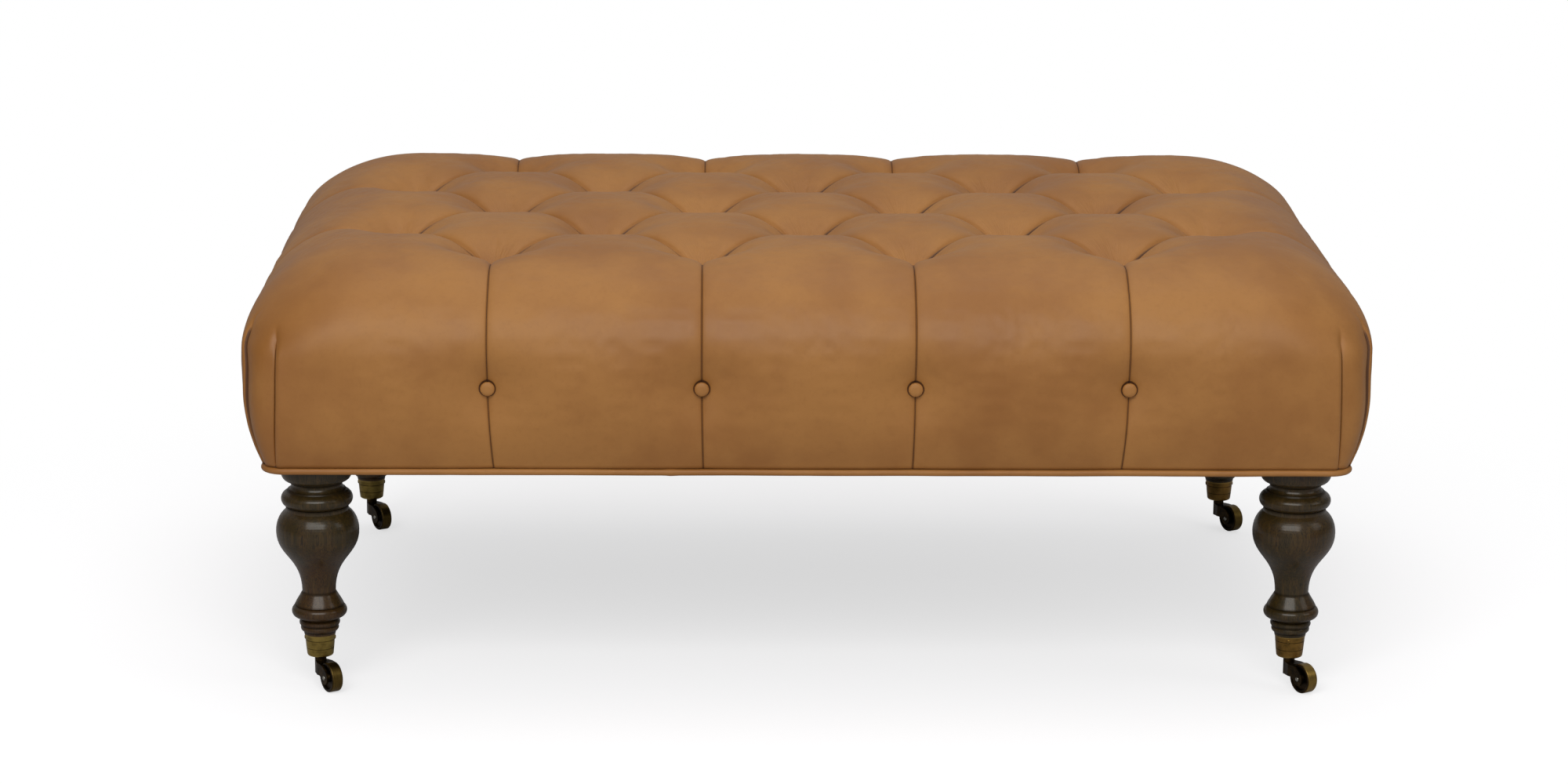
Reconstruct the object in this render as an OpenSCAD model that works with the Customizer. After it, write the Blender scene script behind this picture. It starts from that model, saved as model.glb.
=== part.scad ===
// Tufted ottoman: a diamond-tufted, leather-covered seat on a wooden frame, with four
// turned legs on brass cup casters.
// The origin is on the floor under the middle of the seat. X runs along the length,
// Y from the front to the back and Z up. All sizes are in millimetres.

/* [Frame] */
// Outer length of the wooden frame
frame_w = 1180; // [1120:5:1240]
// Outer depth of the wooden frame
frame_d = 752; // [700:2:820]
// Height of the frame's rails
rail_h = 115; // [100:1:130]
// Thickness of the frame's rails
rail_t = 22; // [20:1:28]
// Radius of the frame's outer corners
frame_corner_r = 20; // [12:1:20]
// Height of the two cross rails
cross_h = 60; // [40:1:80]
// Distance of each cross rail from the middle of the seat
cross_x = 173; // [150:1:190]
// Side of each triangular corner block
block_side = 112; // [100:1:130]
// Height of each corner block
block_h = 40; // [30:1:50]
// Thickness of the plywood deck
deck_t = 12; // [9:1:18]
// Thickness of the dust cover under the frame
dust_t = 0.8; // [0.6:0.1:2]
// Length of the dowels in the rails' joints
dowel_l = 40; // [30:1:50]
// Diameter of the dowels in the rails' joints
dowel_d = 8; // [6:1:10]

/* [Seat] */
// Height of the frame's underside above the foot of the legs' cups
leg_h = 223; // [200:1:260]
// Height of the seat's highest cushions above the deck
crest_h = 109; // [100:1:125]
// Thickness of the firm foam slab on the deck
foam_t = 48; // [40:1:54]
// Distance from the frame's face in to the foam slab's edge
foam_inset = 14; // [10:1:24]
// Distance that the padding swells out past the frame
padding_t = 29; // [24:1:36]
// Distance over which the padding's shoulder rounds down to its widest level
shoulder_run = 150; // [140:1:156]
// Height of the cushions' crowns above the padding's widest level
shoulder_drop = 105; // [95:1:112]
// Radius of the padding's corners, seen from above
padding_corner_r = 62; // [40:1:75]
// Distance that the cover's lower edge stands out past the frame
hem_out = 5.5; // [4:0.5:8]

/* [Tufting] */
// Spacing of the tufts along a row
tuft_pitch = 231.5; // [215:0.5:240]
// Spacing of the rows of tufts
row_pitch = 125; // [112:1:132]
// Depth of the tufts below the cushions' crowns
tuft_depth = 50; // [40:1:54]
// Height that the seams rise between two tufts
seam_rise = 30; // [20:1:32]
// Depth of the pleats that run over the edges
pleat_depth = 10; // [4:1:14]
// Depth of the buttoned dents in the sides
dent_depth = 13; // [8:1:16]
// Height of the side buttons above the frame's underside
side_button_h = 96; // [85:1:98]
// Depth of the folds beside each corner
fold_depth = 4; // [1:0.5:6]

/* [Trim] */
// Diameter of the covered buttons
button_d = 18; // [14:0.5:22]
// Thickness of a button at its crown
button_t = 5; // [3:0.5:7]
// Diameter of the welt cord along the lower edge
welt_d = 7.5; // [5:0.5:9]
// Diameter of the tufting twine
twine_d = 1.6; // [1.2:0.1:2.4]
// Diameter of the holes that the twine passes through
twine_hole_d = 6; // [4:0.5:8]
// Diameter of the discs that the twine is tied to
anchor_d = 18; // [12:1:24]
// Thickness of those discs
anchor_t = 3; // [2:0.5:5]

/* [Legs] */
// Distance from the frame's end to a leg's axis
leg_inset_x = 50; // [42:1:56]
// Distance from the frame's front or back to a leg's axis
leg_inset_y = 44; // [42:1:52]
// Diameter of the leg's top disc
top_disc_d = 79; // [70:1:82]
// Diameter of the leg's upper bead
upper_bead_d = 79; // [70:1:84]
// Diameter of the leg's bulb
bulb_d = 91.5; // [82:0.5:96]
// Diameter of the leg's waist
waist_d = 37; // [32:1:42]
// Diameter of the leg's lower bead
lower_bead_d = 61; // [54:1:66]
// Diameter of the ring above the cup
ring_d = 45; // [40:1:50]

/* [Casters] */
// Height of the cup's underside above the floor
caster_h = 36; // [35:0.5:40]
// Diameter of the wheel
wheel_d = 33; // [30:0.5:34]
// Width of the wheel
wheel_w = 13; // [11:0.5:15]
// Distance from the swivel axis back to the axle
trail = 26; // [25:0.5:29]
// Direction in which the casters trail, from the X axis
trail_angle = -58; // [-180:1:180]
// Diameter of the axle
axle_d = 4; // [3:0.5:5]
// Thickness of the fork's cheeks
cheek_t = 2.4; // [2:0.1:3]
// Diameter of the fork's neck
neck_d = 12.8; // [12:0.2:14]
// Diameter of the swivel pin
pin_d = 7; // [5:0.5:8]
// Diameter of the cup's mouth
cup_d = 33.6; // [31:0.2:36]
// Diameter of the cup's foot
cup_foot_d = 29.2; // [27:0.2:30]
// Height of the cup
cup_h = 25; // [22:0.5:28]
// Thickness of the cup's wall
cup_wall = 1.3; // [1:0.1:1.6]
// Thickness of the cup's base
cup_base_t = 3; // [2:0.5:4]

/* [Fasteners] */
// Diameter of the hanger bolts in the legs
bolt_d = 8; // [6:1:10]
// Depth of the hanger bolts in the legs
bolt_depth = 45; // [35:1:55]
// Diameter of the wood screws
screw_d = 4; // [3:0.5:5]
// Length of the wood screws in the corner blocks
screw_l = 38; // [32:1:40]
// Diameter of the cups' small screws
cup_screw_d = 2.4; // [2:0.2:3]

/* [Fits] */
// Radial clearance of a pin, screw or bolt in its hole
fit = 0.05; // [0.02:0.01:0.1]
// Gap between the soft cover and what it wraps
lining = 0.3; // [0.2:0.1:0.8]
// Gap between the wheel and each cheek
wheel_gap = 0.6; // [0.4:0.1:0.8]
// Gap between the fork's neck and the cup
swivel_gap = 0.2; // [0.1:0.1:0.4]

/* [Hidden] */
$fn = 64;

// Colours of the materials
leather = "#a8743f";
dark_wood = "#3d2f22";
pale_wood = "#c9a878";
brass = "#8c7440";
bronze = "#4a3d26";
steel = "#9a9a98";
black_cloth = "#24231f";
foam_cloth = "#e6dfcf";

// Heights of the main levels above the floor
base_z = caster_h + leg_h;
deck_z = base_z + rail_h;
foam_z = deck_z + deck_t;
crest_z = foam_z + crest_h;
side_button_z = base_z + side_button_h;

// Corners of the seat, as the signs of X and Y
front_left = [-1, -1];
front_right = [1, -1];
rear_left = [-1, 1];
rear_right = [1, 1];
corners = [front_left, front_right, rear_left, rear_right];

leg_x = frame_w / 2 - leg_inset_x;
leg_y = frame_d / 2 - leg_inset_y;
inner_x = frame_w / 2 - rail_t;
inner_y = frame_d / 2 - rail_t;

// A tiny overlap that keeps cuts clean
eps = 0.01;

// Tufts sit where the half-pitch column and the row number add up to an odd number
half_pitch = tuft_pitch / 2;
tuft_columns = 4;
tuft_rows = 2;
tufts = [
    for (row = [-tuft_rows : tuft_rows])
        for (col = [-tuft_columns : tuft_columns])
            if (abs(row + col) % 2 == 1) [col * half_pitch, row * row_pitch]
];
pleats_x = [for (col = [-3 : 2 : 3]) col * half_pitch];
pleats_y = [-row_pitch, row_pitch];

module at_corner(c) {
    translate([c[0] * leg_x, c[1] * leg_y, 0]) children();
}

// The caster's own frame: Z is the swivel axis and X points along the trail
module at_caster(c) {
    at_corner(c) rotate([0, 0, trail_angle]) children();
}

// A block with rounded upright edges, centred in X and Y
module rounded_block(w, d, h, r) {
    translate([-w / 2 + r, -d / 2, 0]) cube([w - 2 * r, d, h]);
    translate([-w / 2, -d / 2 + r, 0]) cube([w, d - 2 * r, h]);
    for (sx = [-1, 1], sy = [-1, 1])
        translate([sx * (w / 2 - r), sy * (d / 2 - r), 0]) cylinder(r = r, h = h);
}

module frame_block(z, h, grow) {
    translate([0, 0, z])
        rounded_block(frame_w + 2 * grow, frame_d + 2 * grow, h, frame_corner_r + grow);
}

// Tufted cover
// The top is a grid of points with a few steps to each half pitch. Past the outer tufts
// the grid bends over the shoulder in rim steps, and rings go on down to the lower edge.
steps = 3;
rim = 4;
ni = tuft_columns * steps + rim;
nj = tuft_rows * steps + rim;
hem_z = base_z + (welt_d + lining) / 2;
widest_z = crest_z - shoulder_drop;
button_level_in = 2;
lower_swell = 0.66;
trimmed_off = 2;
rim_angles = [71, 56, 42, 28, 14, 0];
lower_rings = 3;
levels = len(rim_angles) + lower_rings;

function shoulder_point(angle) =
    [padding_t - shoulder_run * (1 - cos(angle)), widest_z + shoulder_drop * sin(angle)];

// Each level's distance out from the frame's face, with its height
function level_point(k) =
    k <= len(rim_angles) ? shoulder_point(rim_angles[k - 1]) :
    k == levels - 2 ? [padding_t - button_level_in, side_button_z] :
    k == levels - 1 ? [hem_out + lower_swell * (padding_t - hem_out), (side_button_z + hem_z) / 2] :
    [hem_out, hem_z - trimmed_off];

// Each level's corner radius and the depth of its pleats and of its corner folds
hem_r = frame_corner_r + hem_out;
level_radius = [22, 58, 84, 1.5 * padding_corner_r, 1.45 * padding_corner_r, 1.2 * padding_corner_r,
    padding_corner_r, (padding_corner_r + hem_r) / 2, hem_r];
level_pleat = [2, 0.4, 0.4, 0.6, 0.8, 0.9, dent_depth / pleat_depth, 0.5, 0.1];
level_fold = [0, 0, 0, 0, 0.3, 1, 1, 0.8, 0.3];

// The rim steps crowd towards the middle of a corner, where the side turns
function crowded(share) = 1 - pow(1 - share, 1.75);

// How deep a pleat draws the surface in at a column between the pleats
function pleat_at(col, last) = abs(col) >= last ? 0 : 1 - pow(abs(cos(90 * col)), 0.6);

// Height of the tufted field at a column and row of half pitches
function field_z(col, row) =
    let (
        su = abs(sin(90 * (col + row - 1))),
        sv = abs(sin(90 * (col - row - 1)))
    )
    crest_z - tuft_depth + seam_rise * pow(max(su, sv), 0.7)
        + (tuft_depth - seam_rise) * pow(su * sv, 0.6);

// A point along one side of a rounded corner: its way along the side, and its way in
function corner_point(share, side, r) =
    let (
        way = share * (side - r + PI * r / 4),
        turn = (way - side + r) / r * 180 / PI
    )
    turn <= 0 ? [way, 0] : [side - r + r * sin(turn), r * (1 - cos(turn))];

// A point of the cover at grid place i, j and at a level outside the tufted field
function rim_xyz(i, j, k) =
    let (
        p = level_point(k),
        field_x = tuft_columns * half_pitch,
        field_y = tuft_rows * row_pitch,
        side_x = frame_w / 2 + p[0] - field_x,
        side_y = frame_d / 2 + p[0] - field_y,
        r = level_radius[k - 1],
        u = max(0, abs(i) - tuft_columns * steps),
        v = max(0, abs(j) - tuft_rows * steps),
        out = max(u, v),
        on_end = u >= v,
        share = on_end ? v / out : u / out,
        c = corner_point(crowded(share), on_end ? side_y : side_x, r),
        pleat = on_end ? (v > 0 ? 0 : pleat_at(j / steps, 2)) : (u > 0 ? 0 : pleat_at(i / steps, 4)),
        fold = share == (rim - 1) / rim ? level_fold[k - 1] * fold_depth : 0,
        draw = pleat * level_pleat[k - 1] * pleat_depth,
        lean = k <= len(rim_angles) ? min(90, rim_angles[k - 1]) : 0,
        inward = draw * cos(lean) + fold + c[1],
        along_x = u > 0 ? field_x + c[0] : abs(i) * half_pitch / steps,
        along_y = v > 0 ? field_y + c[0] : abs(j) * row_pitch / steps
    )
    [
        sign(i) * (on_end ? frame_w / 2 + p[0] - inward : along_x),
        sign(j) * (on_end ? along_y : frame_d / 2 + p[0] - inward),
        p[1] - draw * sin(lean)
    ];

function grid_xyz(i, j) =
    let (k = max(abs(i) - tuft_columns * steps, abs(j) - tuft_rows * steps))
    k > 0 ? rim_xyz(i, j, k) :
    [i * half_pitch / steps, j * row_pitch / steps, field_z(i / steps, j / steps)];

// The grid's border, counted anticlockwise from the front left corner
border = concat(
    [for (i = [-ni : ni - 1]) [i, -nj]],
    [for (j = [-nj : nj - 1]) [ni, j]],
    [for (i = [ni : -1 : -ni + 1]) [i, nj]],
    [for (j = [nj : -1 : -nj + 1]) [-ni, j]]
);
border_n = len(border);
grid_n = (2 * ni + 1) * (2 * nj + 1);

function grid_index(i, j) = (i + ni) * (2 * nj + 1) + j + nj;
function ring_index(k, n) =
    k == rim ? grid_index(border[n % border_n][0], border[n % border_n][1])
             : grid_n + (k - rim - 1) * border_n + n % border_n;

// Each square of the grid is split along the seam that crosses it or lies nearest, and
// at the corners across the rounding
function seam_gap(n) = abs((n + 600) % (2 * steps) - steps);
function in_corner(i, j) = abs(i + 0.5) > tuft_columns * steps && abs(j + 0.5) > tuft_rows * steps;
function square_faces(i, j) =
    let (
        a = grid_index(i, j),
        b = grid_index(i + 1, j),
        c = grid_index(i + 1, j + 1),
        d = grid_index(i, j + 1)
    )
    (in_corner(i, j) ? (i + 0.5) * (j + 0.5) < 0 : seam_gap(i - j) < seam_gap(i + j + 1))
        ? [[a, d, c], [a, c, b]]
        : [[a, d, b], [b, d, c]];

cover_points = concat(
    [for (i = [-ni : ni]) for (j = [-nj : nj]) grid_xyz(i, j)],
    [for (k = [rim + 1 : levels]) for (g = border) rim_xyz(g[0], g[1], k)]
);
cover_faces = concat(
    [for (i = [-ni : ni - 1]) for (j = [-nj : nj - 1]) each square_faces(i, j)],
    [
        for (k = [rim : levels - 1])
            for (n = [0 : border_n - 1])
                each [
                    [ring_index(k, n), ring_index(k, n + 1), ring_index(k + 1, n + 1)],
                    [ring_index(k, n), ring_index(k + 1, n + 1), ring_index(k + 1, n)]
                ]
    ],
    [[for (n = [0 : border_n - 1]) ring_index(levels, n)]]
);

module foam_block(grow) {
    translate([0, 0, foam_z])
        rounded_block(frame_w - 2 * foam_inset + 2 * grow, frame_d - 2 * foam_inset + 2 * grow,
            foam_t + grow, frame_corner_r);
}

module tufted_cover() {
    color(leather) difference() {
        polyhedron(points = cover_points, faces = cover_faces, convexity = 8);
        // The lower edge is trimmed level
        translate([-frame_w, -frame_d, 0]) cube([2 * frame_w, 2 * frame_d, hem_z]);
        frame_block(base_z, rail_h + deck_t + lining, lining);
        foam_block(lining);
    }
}

module base_foam() {
    color(foam_cloth) difference() {
        foam_block(0);
        for (t = tufts)
            translate([t[0], t[1], foam_z - eps]) cylinder(d = twine_hole_d, h = foam_t + 2 * eps);
    }
}

// Welt cord
welt_out = welt_d / 2 + lining;

module welt_cord() {
    half_w = frame_w / 2 + welt_out;
    half_d = frame_d / 2 + welt_out;
    bend_r = frame_corner_r + welt_out;
    color(leather) translate([0, 0, base_z]) {
        for (s = [-1, 1]) {
            translate([bend_r - half_w, s * half_d, 0])
                rotate([0, 90, 0]) cylinder(d = welt_d, h = 2 * (half_w - bend_r));
            translate([s * half_w, half_d - bend_r, 0])
                rotate([90, 0, 0]) cylinder(d = welt_d, h = 2 * (half_d - bend_r));
        }
        for (q = [0 : 3])
            translate([(q == 0 || q == 3 ? 1 : -1) * (half_w - bend_r),
                (q < 2 ? 1 : -1) * (half_d - bend_r), 0])
                rotate([0, 0, 90 * q])
                    rotate_extrude(angle = 90) translate([bend_r, 0]) circle(d = welt_d);
    }
}

// Buttons and the twine that draws them in
// The twine's end stands past the disc that it is tied to.
twine_tail = 2;
// A button rests on its dent's sloping sides, so its back stands off the deepest point.
// A side dent's sides lean a little, because the cover rounds in below the button.
dent_lean = 1.15;
step_x = half_pitch / steps;
top_slope = (field_z(1 / steps, 1) - field_z(0, 1)) / step_x;
side_slope = dent_lean * dent_depth * (1 - pleat_at(1 + 1 / steps, tuft_columns)) / step_x;
button_back_z = crest_z - tuft_depth + top_slope * button_d / 2 + lining;
button_out = level_point(levels - 2)[0] - dent_depth + side_slope * button_d / 2 + lining;

// A covered button with a flat back and a domed face, facing up
module button() {
    edge = 1.5;
    dome = button_t - edge;
    r = (pow(button_d / 2, 2) + pow(dome, 2)) / (2 * dome);
    cylinder(d = button_d, h = edge);
    translate([0, 0, edge]) intersection() {
        translate([0, 0, dome - r]) sphere(r = r);
        cylinder(d = button_d, h = dome);
    }
}

module top_buttons() {
    color(leather) for (t = tufts) translate([t[0], t[1], button_back_z]) button();
}

module long_side_buttons(s) {
    color(leather) for (x = pleats_x)
        translate([x, s * (frame_d / 2 + button_out), side_button_z]) rotate([-90 * s, 0, 0]) button();
}

module end_buttons(s) {
    color(leather) for (y = pleats_y)
        translate([s * (frame_w / 2 + button_out), y, side_button_z]) rotate([0, 90 * s, 0]) button();
}

module top_twines() {
    low_z = deck_z - anchor_t - twine_tail;
    color(foam_cloth) for (t = tufts)
        translate([t[0], t[1], low_z]) cylinder(d = twine_d, h = button_back_z - low_z);
}

module side_twines() {
    run = button_out + rail_t + anchor_t + twine_tail;
    color(foam_cloth) for (s = [-1, 1]) {
        for (x = pleats_x)
            translate([x, s * (frame_d / 2 + button_out), side_button_z])
                rotate([90 * s, 0, 0]) cylinder(d = twine_d, h = run);
        for (y = pleats_y)
            translate([s * (frame_w / 2 + button_out), y, side_button_z])
                rotate([0, -90 * s, 0]) cylinder(d = twine_d, h = run);
    }
}

module anchor() {
    difference() {
        cylinder(d = anchor_d, h = anchor_t);
        translate([0, 0, -eps]) cylinder(d = twine_d + 2 * fit, h = anchor_t + 2 * eps);
    }
}

module deck_anchors() {
    color(pale_wood) for (t = tufts) translate([t[0], t[1], deck_z - anchor_t]) anchor();
}

module rail_anchors() {
    color(pale_wood) for (s = [-1, 1]) {
        for (x = pleats_x)
            translate([x, s * inner_y, side_button_z]) rotate([90 * s, 0, 0]) anchor();
        for (y = pleats_y)
            translate([s * inner_x, y, side_button_z]) rotate([0, -90 * s, 0]) anchor();
    }
}

// Frame
dowel_levels = [0.3, 0.7];
dowel_in_rail = 14;
cross_z = deck_z - cross_h;
block_screw_z = block_h / 2;
block_screw_at = 0.62 * block_side;
screw_seat = screw_l - 0.8 * rail_t;
screw_head_d = 2 * screw_d;
screw_head_h = 0.6 * screw_d;
deck_screw_hold = 26;
deck_screw_l = deck_t + deck_screw_hold;
deck_screw_xs = [for (k = [-2 : 2]) k * 0.23 * frame_w];
deck_screw_ys = [for (k = [-1 : 1]) k * 0.3 * frame_d];

// Dowels run along Y from each long rail into the ends of the side and cross rails
module each_dowel(grow) {
    for (s = [-1, 1], level = dowel_levels) {
        for (x = [-frame_w / 2 + rail_t / 2, frame_w / 2 - rail_t / 2])
            translate([x, s * (inner_y + dowel_in_rail), base_z + level * rail_h])
                rotate([90 * s, 0, 0]) cylinder(d = dowel_d + 2 * grow, h = dowel_l);
        for (x = [-cross_x, cross_x])
            translate([x, s * (inner_y + dowel_in_rail), cross_z + level * cross_h])
                rotate([90 * s, 0, 0]) cylinder(d = dowel_d + 2 * grow, h = dowel_l);
    }
}

// Holes for the twine through the rails, at the side buttons
module twine_holes() {
    for (s = [-1, 1]) {
        for (x = pleats_x)
            translate([x, s * (frame_d / 2 + 1), side_button_z])
                rotate([90 * s, 0, 0]) cylinder(d = twine_hole_d, h = rail_t + 2);
        for (y = pleats_y)
            translate([s * (frame_w / 2 + 1), y, side_button_z])
                rotate([0, -90 * s, 0]) cylinder(d = twine_hole_d, h = rail_t + 2);
    }
}

// A countersunk wood screw with its head's face at the origin, pointing down
module wood_screw(length, grow) {
    translate([0, 0, -length]) cylinder(d = screw_d + 2 * grow, h = length - eps);
    translate([0, 0, -screw_head_h])
        cylinder(d1 = screw_d + 2 * grow, d2 = screw_head_d + 2 * grow, h = screw_head_h);
}

module each_block_screw(grow) {
    for (c = corners) {
        translate([c[0] * (inner_x - block_screw_at), c[1] * (inner_y - screw_seat),
            base_z + block_screw_z])
            rotate([90 * c[1], 0, 0]) wood_screw(screw_l, grow);
        translate([c[0] * (inner_x - screw_seat), c[1] * (inner_y - block_screw_at),
            base_z + block_screw_z])
            rotate([0, -90 * c[0], 0]) wood_screw(screw_l, grow);
    }
}

module each_deck_screw(grow) {
    for (s = [-1, 1]) {
        for (x = deck_screw_xs)
            translate([x, s * (frame_d / 2 - rail_t / 2), foam_z]) wood_screw(deck_screw_l, grow);
        for (y = deck_screw_ys)
            translate([s * (frame_w / 2 - rail_t / 2), y, foam_z]) wood_screw(deck_screw_l, grow);
    }
}

module rail_holes() {
    each_dowel(fit);
    twine_holes();
    each_block_screw(fit);
    each_deck_screw(fit);
}

module long_rail(s) {
    color(pale_wood) difference() {
        intersection() {
            frame_block(base_z, rail_h, 0);
            translate([-frame_w / 2, s > 0 ? inner_y : -frame_d / 2, base_z])
                cube([frame_w, rail_t, rail_h]);
        }
        rail_holes();
    }
}

module end_rail(s) {
    color(pale_wood) difference() {
        translate([s > 0 ? inner_x : -frame_w / 2, -inner_y, base_z])
            cube([rail_t, 2 * inner_y, rail_h]);
        rail_holes();
    }
}

module cross_rails() {
    color(pale_wood) difference() {
        for (x = [-cross_x, cross_x])
            translate([x - rail_t / 2, -inner_y, cross_z]) cube([rail_t, 2 * inner_y, cross_h]);
        each_dowel(fit);
    }
}

module rail_dowels() {
    color(pale_wood) each_dowel(0);
}

module corner_blocks() {
    color(pale_wood) difference() {
        for (c = corners)
            translate([c[0] * inner_x, c[1] * inner_y, base_z])
                linear_extrude(block_h)
                    polygon([[0, 0], [-c[0] * block_side, 0], [0, -c[1] * block_side]]);
        for (c = corners)
            at_corner(c) translate([0, 0, base_z - eps])
                cylinder(d = bolt_d + 2 * fit, h = block_h + 2 * eps);
        each_block_screw(fit);
        // Counterbores let the heads in from the block's long face
        for (c = corners) {
            translate([c[0] * (inner_x - block_screw_at), c[1] * (inner_y - screw_seat + eps),
                base_z + block_screw_z])
                rotate([90 * c[1], 0, 0]) cylinder(d = screw_head_d + 2 * fit, h = block_side);
            translate([c[0] * (inner_x - screw_seat + eps), c[1] * (inner_y - block_screw_at),
                base_z + block_screw_z])
                rotate([0, -90 * c[0], 0]) cylinder(d = screw_head_d + 2 * fit, h = block_side);
        }
    }
}

module block_screws() {
    color(steel) each_block_screw(0);
}

module deck_screws() {
    color(steel) each_deck_screw(0);
}

module deck_panel() {
    color(pale_wood) difference() {
        frame_block(deck_z, deck_t, 0);
        for (t = tufts)
            translate([t[0], t[1], deck_z - eps]) cylinder(d = twine_hole_d, h = deck_t + 2 * eps);
        each_deck_screw(fit);
    }
}

// The dust cover stops short of the frame's edge and is cut round the legs
dust_inset = 4;
dust_leg_gap = 1;

module dust_cover() {
    color(black_cloth) difference() {
        translate([0, 0, base_z - dust_t])
            rounded_block(frame_w - 2 * dust_inset, frame_d - 2 * dust_inset, dust_t,
                frame_corner_r - dust_inset);
        for (c = corners)
            at_corner(c) translate([0, 0, base_z - dust_t - eps])
                cylinder(d = top_disc_d + 2 * dust_leg_gap, h = dust_t + 2 * eps);
    }
}

// Hanger bolts
washer_t = 2;
washer_d = 3 * bolt_d;
nut_t = 0.8 * bolt_d;
nut_across = 1.6 * bolt_d;

module hanger_bolts() {
    bolt_tail = 3;
    top = base_z + block_h + washer_t + nut_t + bolt_tail;
    color(steel) for (c = corners)
        at_corner(c) translate([0, 0, base_z - bolt_depth])
            cylinder(d = bolt_d, h = top - base_z + bolt_depth);
}

module bolt_washers() {
    color(steel) for (c = corners)
        at_corner(c) translate([0, 0, base_z + block_h]) difference() {
            cylinder(d = washer_d, h = washer_t);
            translate([0, 0, -eps]) cylinder(d = bolt_d + 2 * fit, h = washer_t + 2 * eps);
        }
}

module bolt_nuts() {
    color(steel) for (c = corners)
        at_corner(c) translate([0, 0, base_z + block_h + washer_t]) difference() {
            cylinder(d = nut_across / cos(30), h = nut_t, $fn = 6);
            translate([0, 0, -eps]) cylinder(d = bolt_d + 2 * fit, h = nut_t + 2 * eps, $fn = 64);
        }
}

// Turned legs
// The upper turnings hang from the leg's top and the lower ones stand on the cup, so a
// longer leg only gets a longer waist.
leg_top = base_z;
cup_top = caster_h + cup_h;
leg_foot = caster_h + cup_base_t + 3.5;

function arc_points(cr, cz, rr, rz, from, to, n) =
    [for (k = [0 : n]) let (a = from + (to - from) * k / n) [cr + rr * cos(a), cz + rz * sin(a)]];

function curve_points(p0, p1, p2, p3, n) =
    [
        for (k = [0 : n])
            let (t = k / n, s = 1 - t)
            s * s * s * p0 + 3 * s * s * t * p1 + 3 * s * t * t * p2 + t * t * t * p3
    ];

// Radius of the cup's outer and inner wall at a height above its underside
function cup_r(h) = (cup_foot_d + (cup_d - cup_foot_d) * h / cup_h) / 2;
function cup_inner_r(h) = cup_r(h) - cup_wall;

upper_bead_z = leg_top - 42;
bulb_z = leg_top - 79;
lower_bead_z = cup_top + 27;
bulb_r = bulb_d / 2;
waist_r = waist_d / 2;

leg_profile = concat(
    [[0, leg_foot], [cup_inner_r(leg_foot - caster_h) - fit, leg_foot]],
    [[cup_inner_r(cup_h) - fit, cup_top], [cup_d / 2 + 0.6, cup_top + 0.3]],
    // Collar and ring above the cup
    [[cup_d / 2 + 1.2, cup_top + 3.4]],
    arc_points(ring_d / 2 - 4, cup_top + 7.4, 2.6, 3.4, -90, 60, 5),
    arc_points(ring_d / 2 - 3, cup_top + 13.6, 3, 3.6, -70, 80, 6),
    [[ring_d / 2 - 1, cup_top + 19]],
    // Lower bead, with a flared step above it
    arc_points(lower_bead_d / 2 - 6, lower_bead_z, 6, 6.6, -80, 70, 10),
    [[lower_bead_d / 2 - 3.4, lower_bead_z + 7.4]],
    curve_points([lower_bead_d / 2 - 3.4, lower_bead_z + 7.4], [waist_r + 6, lower_bead_z + 13],
        [waist_r + 3.5, lower_bead_z + 16], [waist_r + 1.2, lower_bead_z + 20.5], 6),
    // Waist, opening into the bulb
    curve_points([waist_r, lower_bead_z + 22], [waist_r + 0.1, lower_bead_z + 62],
        [bulb_r, bulb_z - 28], [bulb_r, bulb_z], 16),
    arc_points(bulb_r - 18.6, bulb_z, 18.6, 26, 8, 60, 8),
    // Step and upper bead
    [[bulb_r - 11, bulb_z + 24], [upper_bead_d / 2 - 5, upper_bead_z - 10.5]],
    [[upper_bead_d / 2 - 5, upper_bead_z - 8.5]],
    arc_points(upper_bead_d / 2 - 8, upper_bead_z, 8, 8.4, -75, 62, 10),
    [[upper_bead_d / 2 - 6.6, upper_bead_z + 9], [upper_bead_d / 2 - 7.6, upper_bead_z + 10.6]],
    // Cove and top disc
    curve_points([upper_bead_d / 2 - 9, upper_bead_z + 11.2], [top_disc_d / 2 - 12, leg_top - 28],
        [top_disc_d / 2 - 12, leg_top - 25], [top_disc_d / 2 - 10, leg_top - 23.4], 5),
    [[top_disc_d / 2 - 8.6, leg_top - 22.6]],
    curve_points([top_disc_d / 2 - 8.2, leg_top - 21.6], [top_disc_d / 2 - 2.6, leg_top - 21],
        [top_disc_d / 2, leg_top - 16], [top_disc_d / 2, leg_top - 9], 8),
    [[top_disc_d / 2, leg_top], [0, leg_top]]
);

cup_screw_z = cup_top - 4.5;
cup_screw_l = 9;

// The two screws of a cup face each other, and each cup is turned its own way
function cup_turn(c) = c == front_right ? -103 : 0;

module leg(c) {
    color(dark_wood) at_corner(c) difference() {
        rotate_extrude() polygon(leg_profile);
        translate([0, 0, leg_top - bolt_depth - 1]) cylinder(d = bolt_d + 2 * fit, h = bolt_depth + 2);
        cup_screw_pair(c, fit);
    }
}

// Casters
cup_edge = 2.2;

module cup_screw_pair(c, grow) {
    seat = cup_r(cup_screw_z - caster_h);
    for (turn = [0, 180])
        rotate([0, 0, cup_turn(c) + turn]) translate([seat + 0.3, 0, cup_screw_z]) rotate([0, 90, 0]) {
            translate([0, 0, -cup_screw_l]) cylinder(d = cup_screw_d + 2 * grow, h = cup_screw_l);
            if (grow == 0) cylinder(d1 = 2 * cup_screw_d, d2 = 1.4 * cup_screw_d, h = 0.8);
        }
}

module cup_screws() {
    color(brass) for (c = corners) at_corner(c) cup_screw_pair(c, 0);
}

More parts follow.
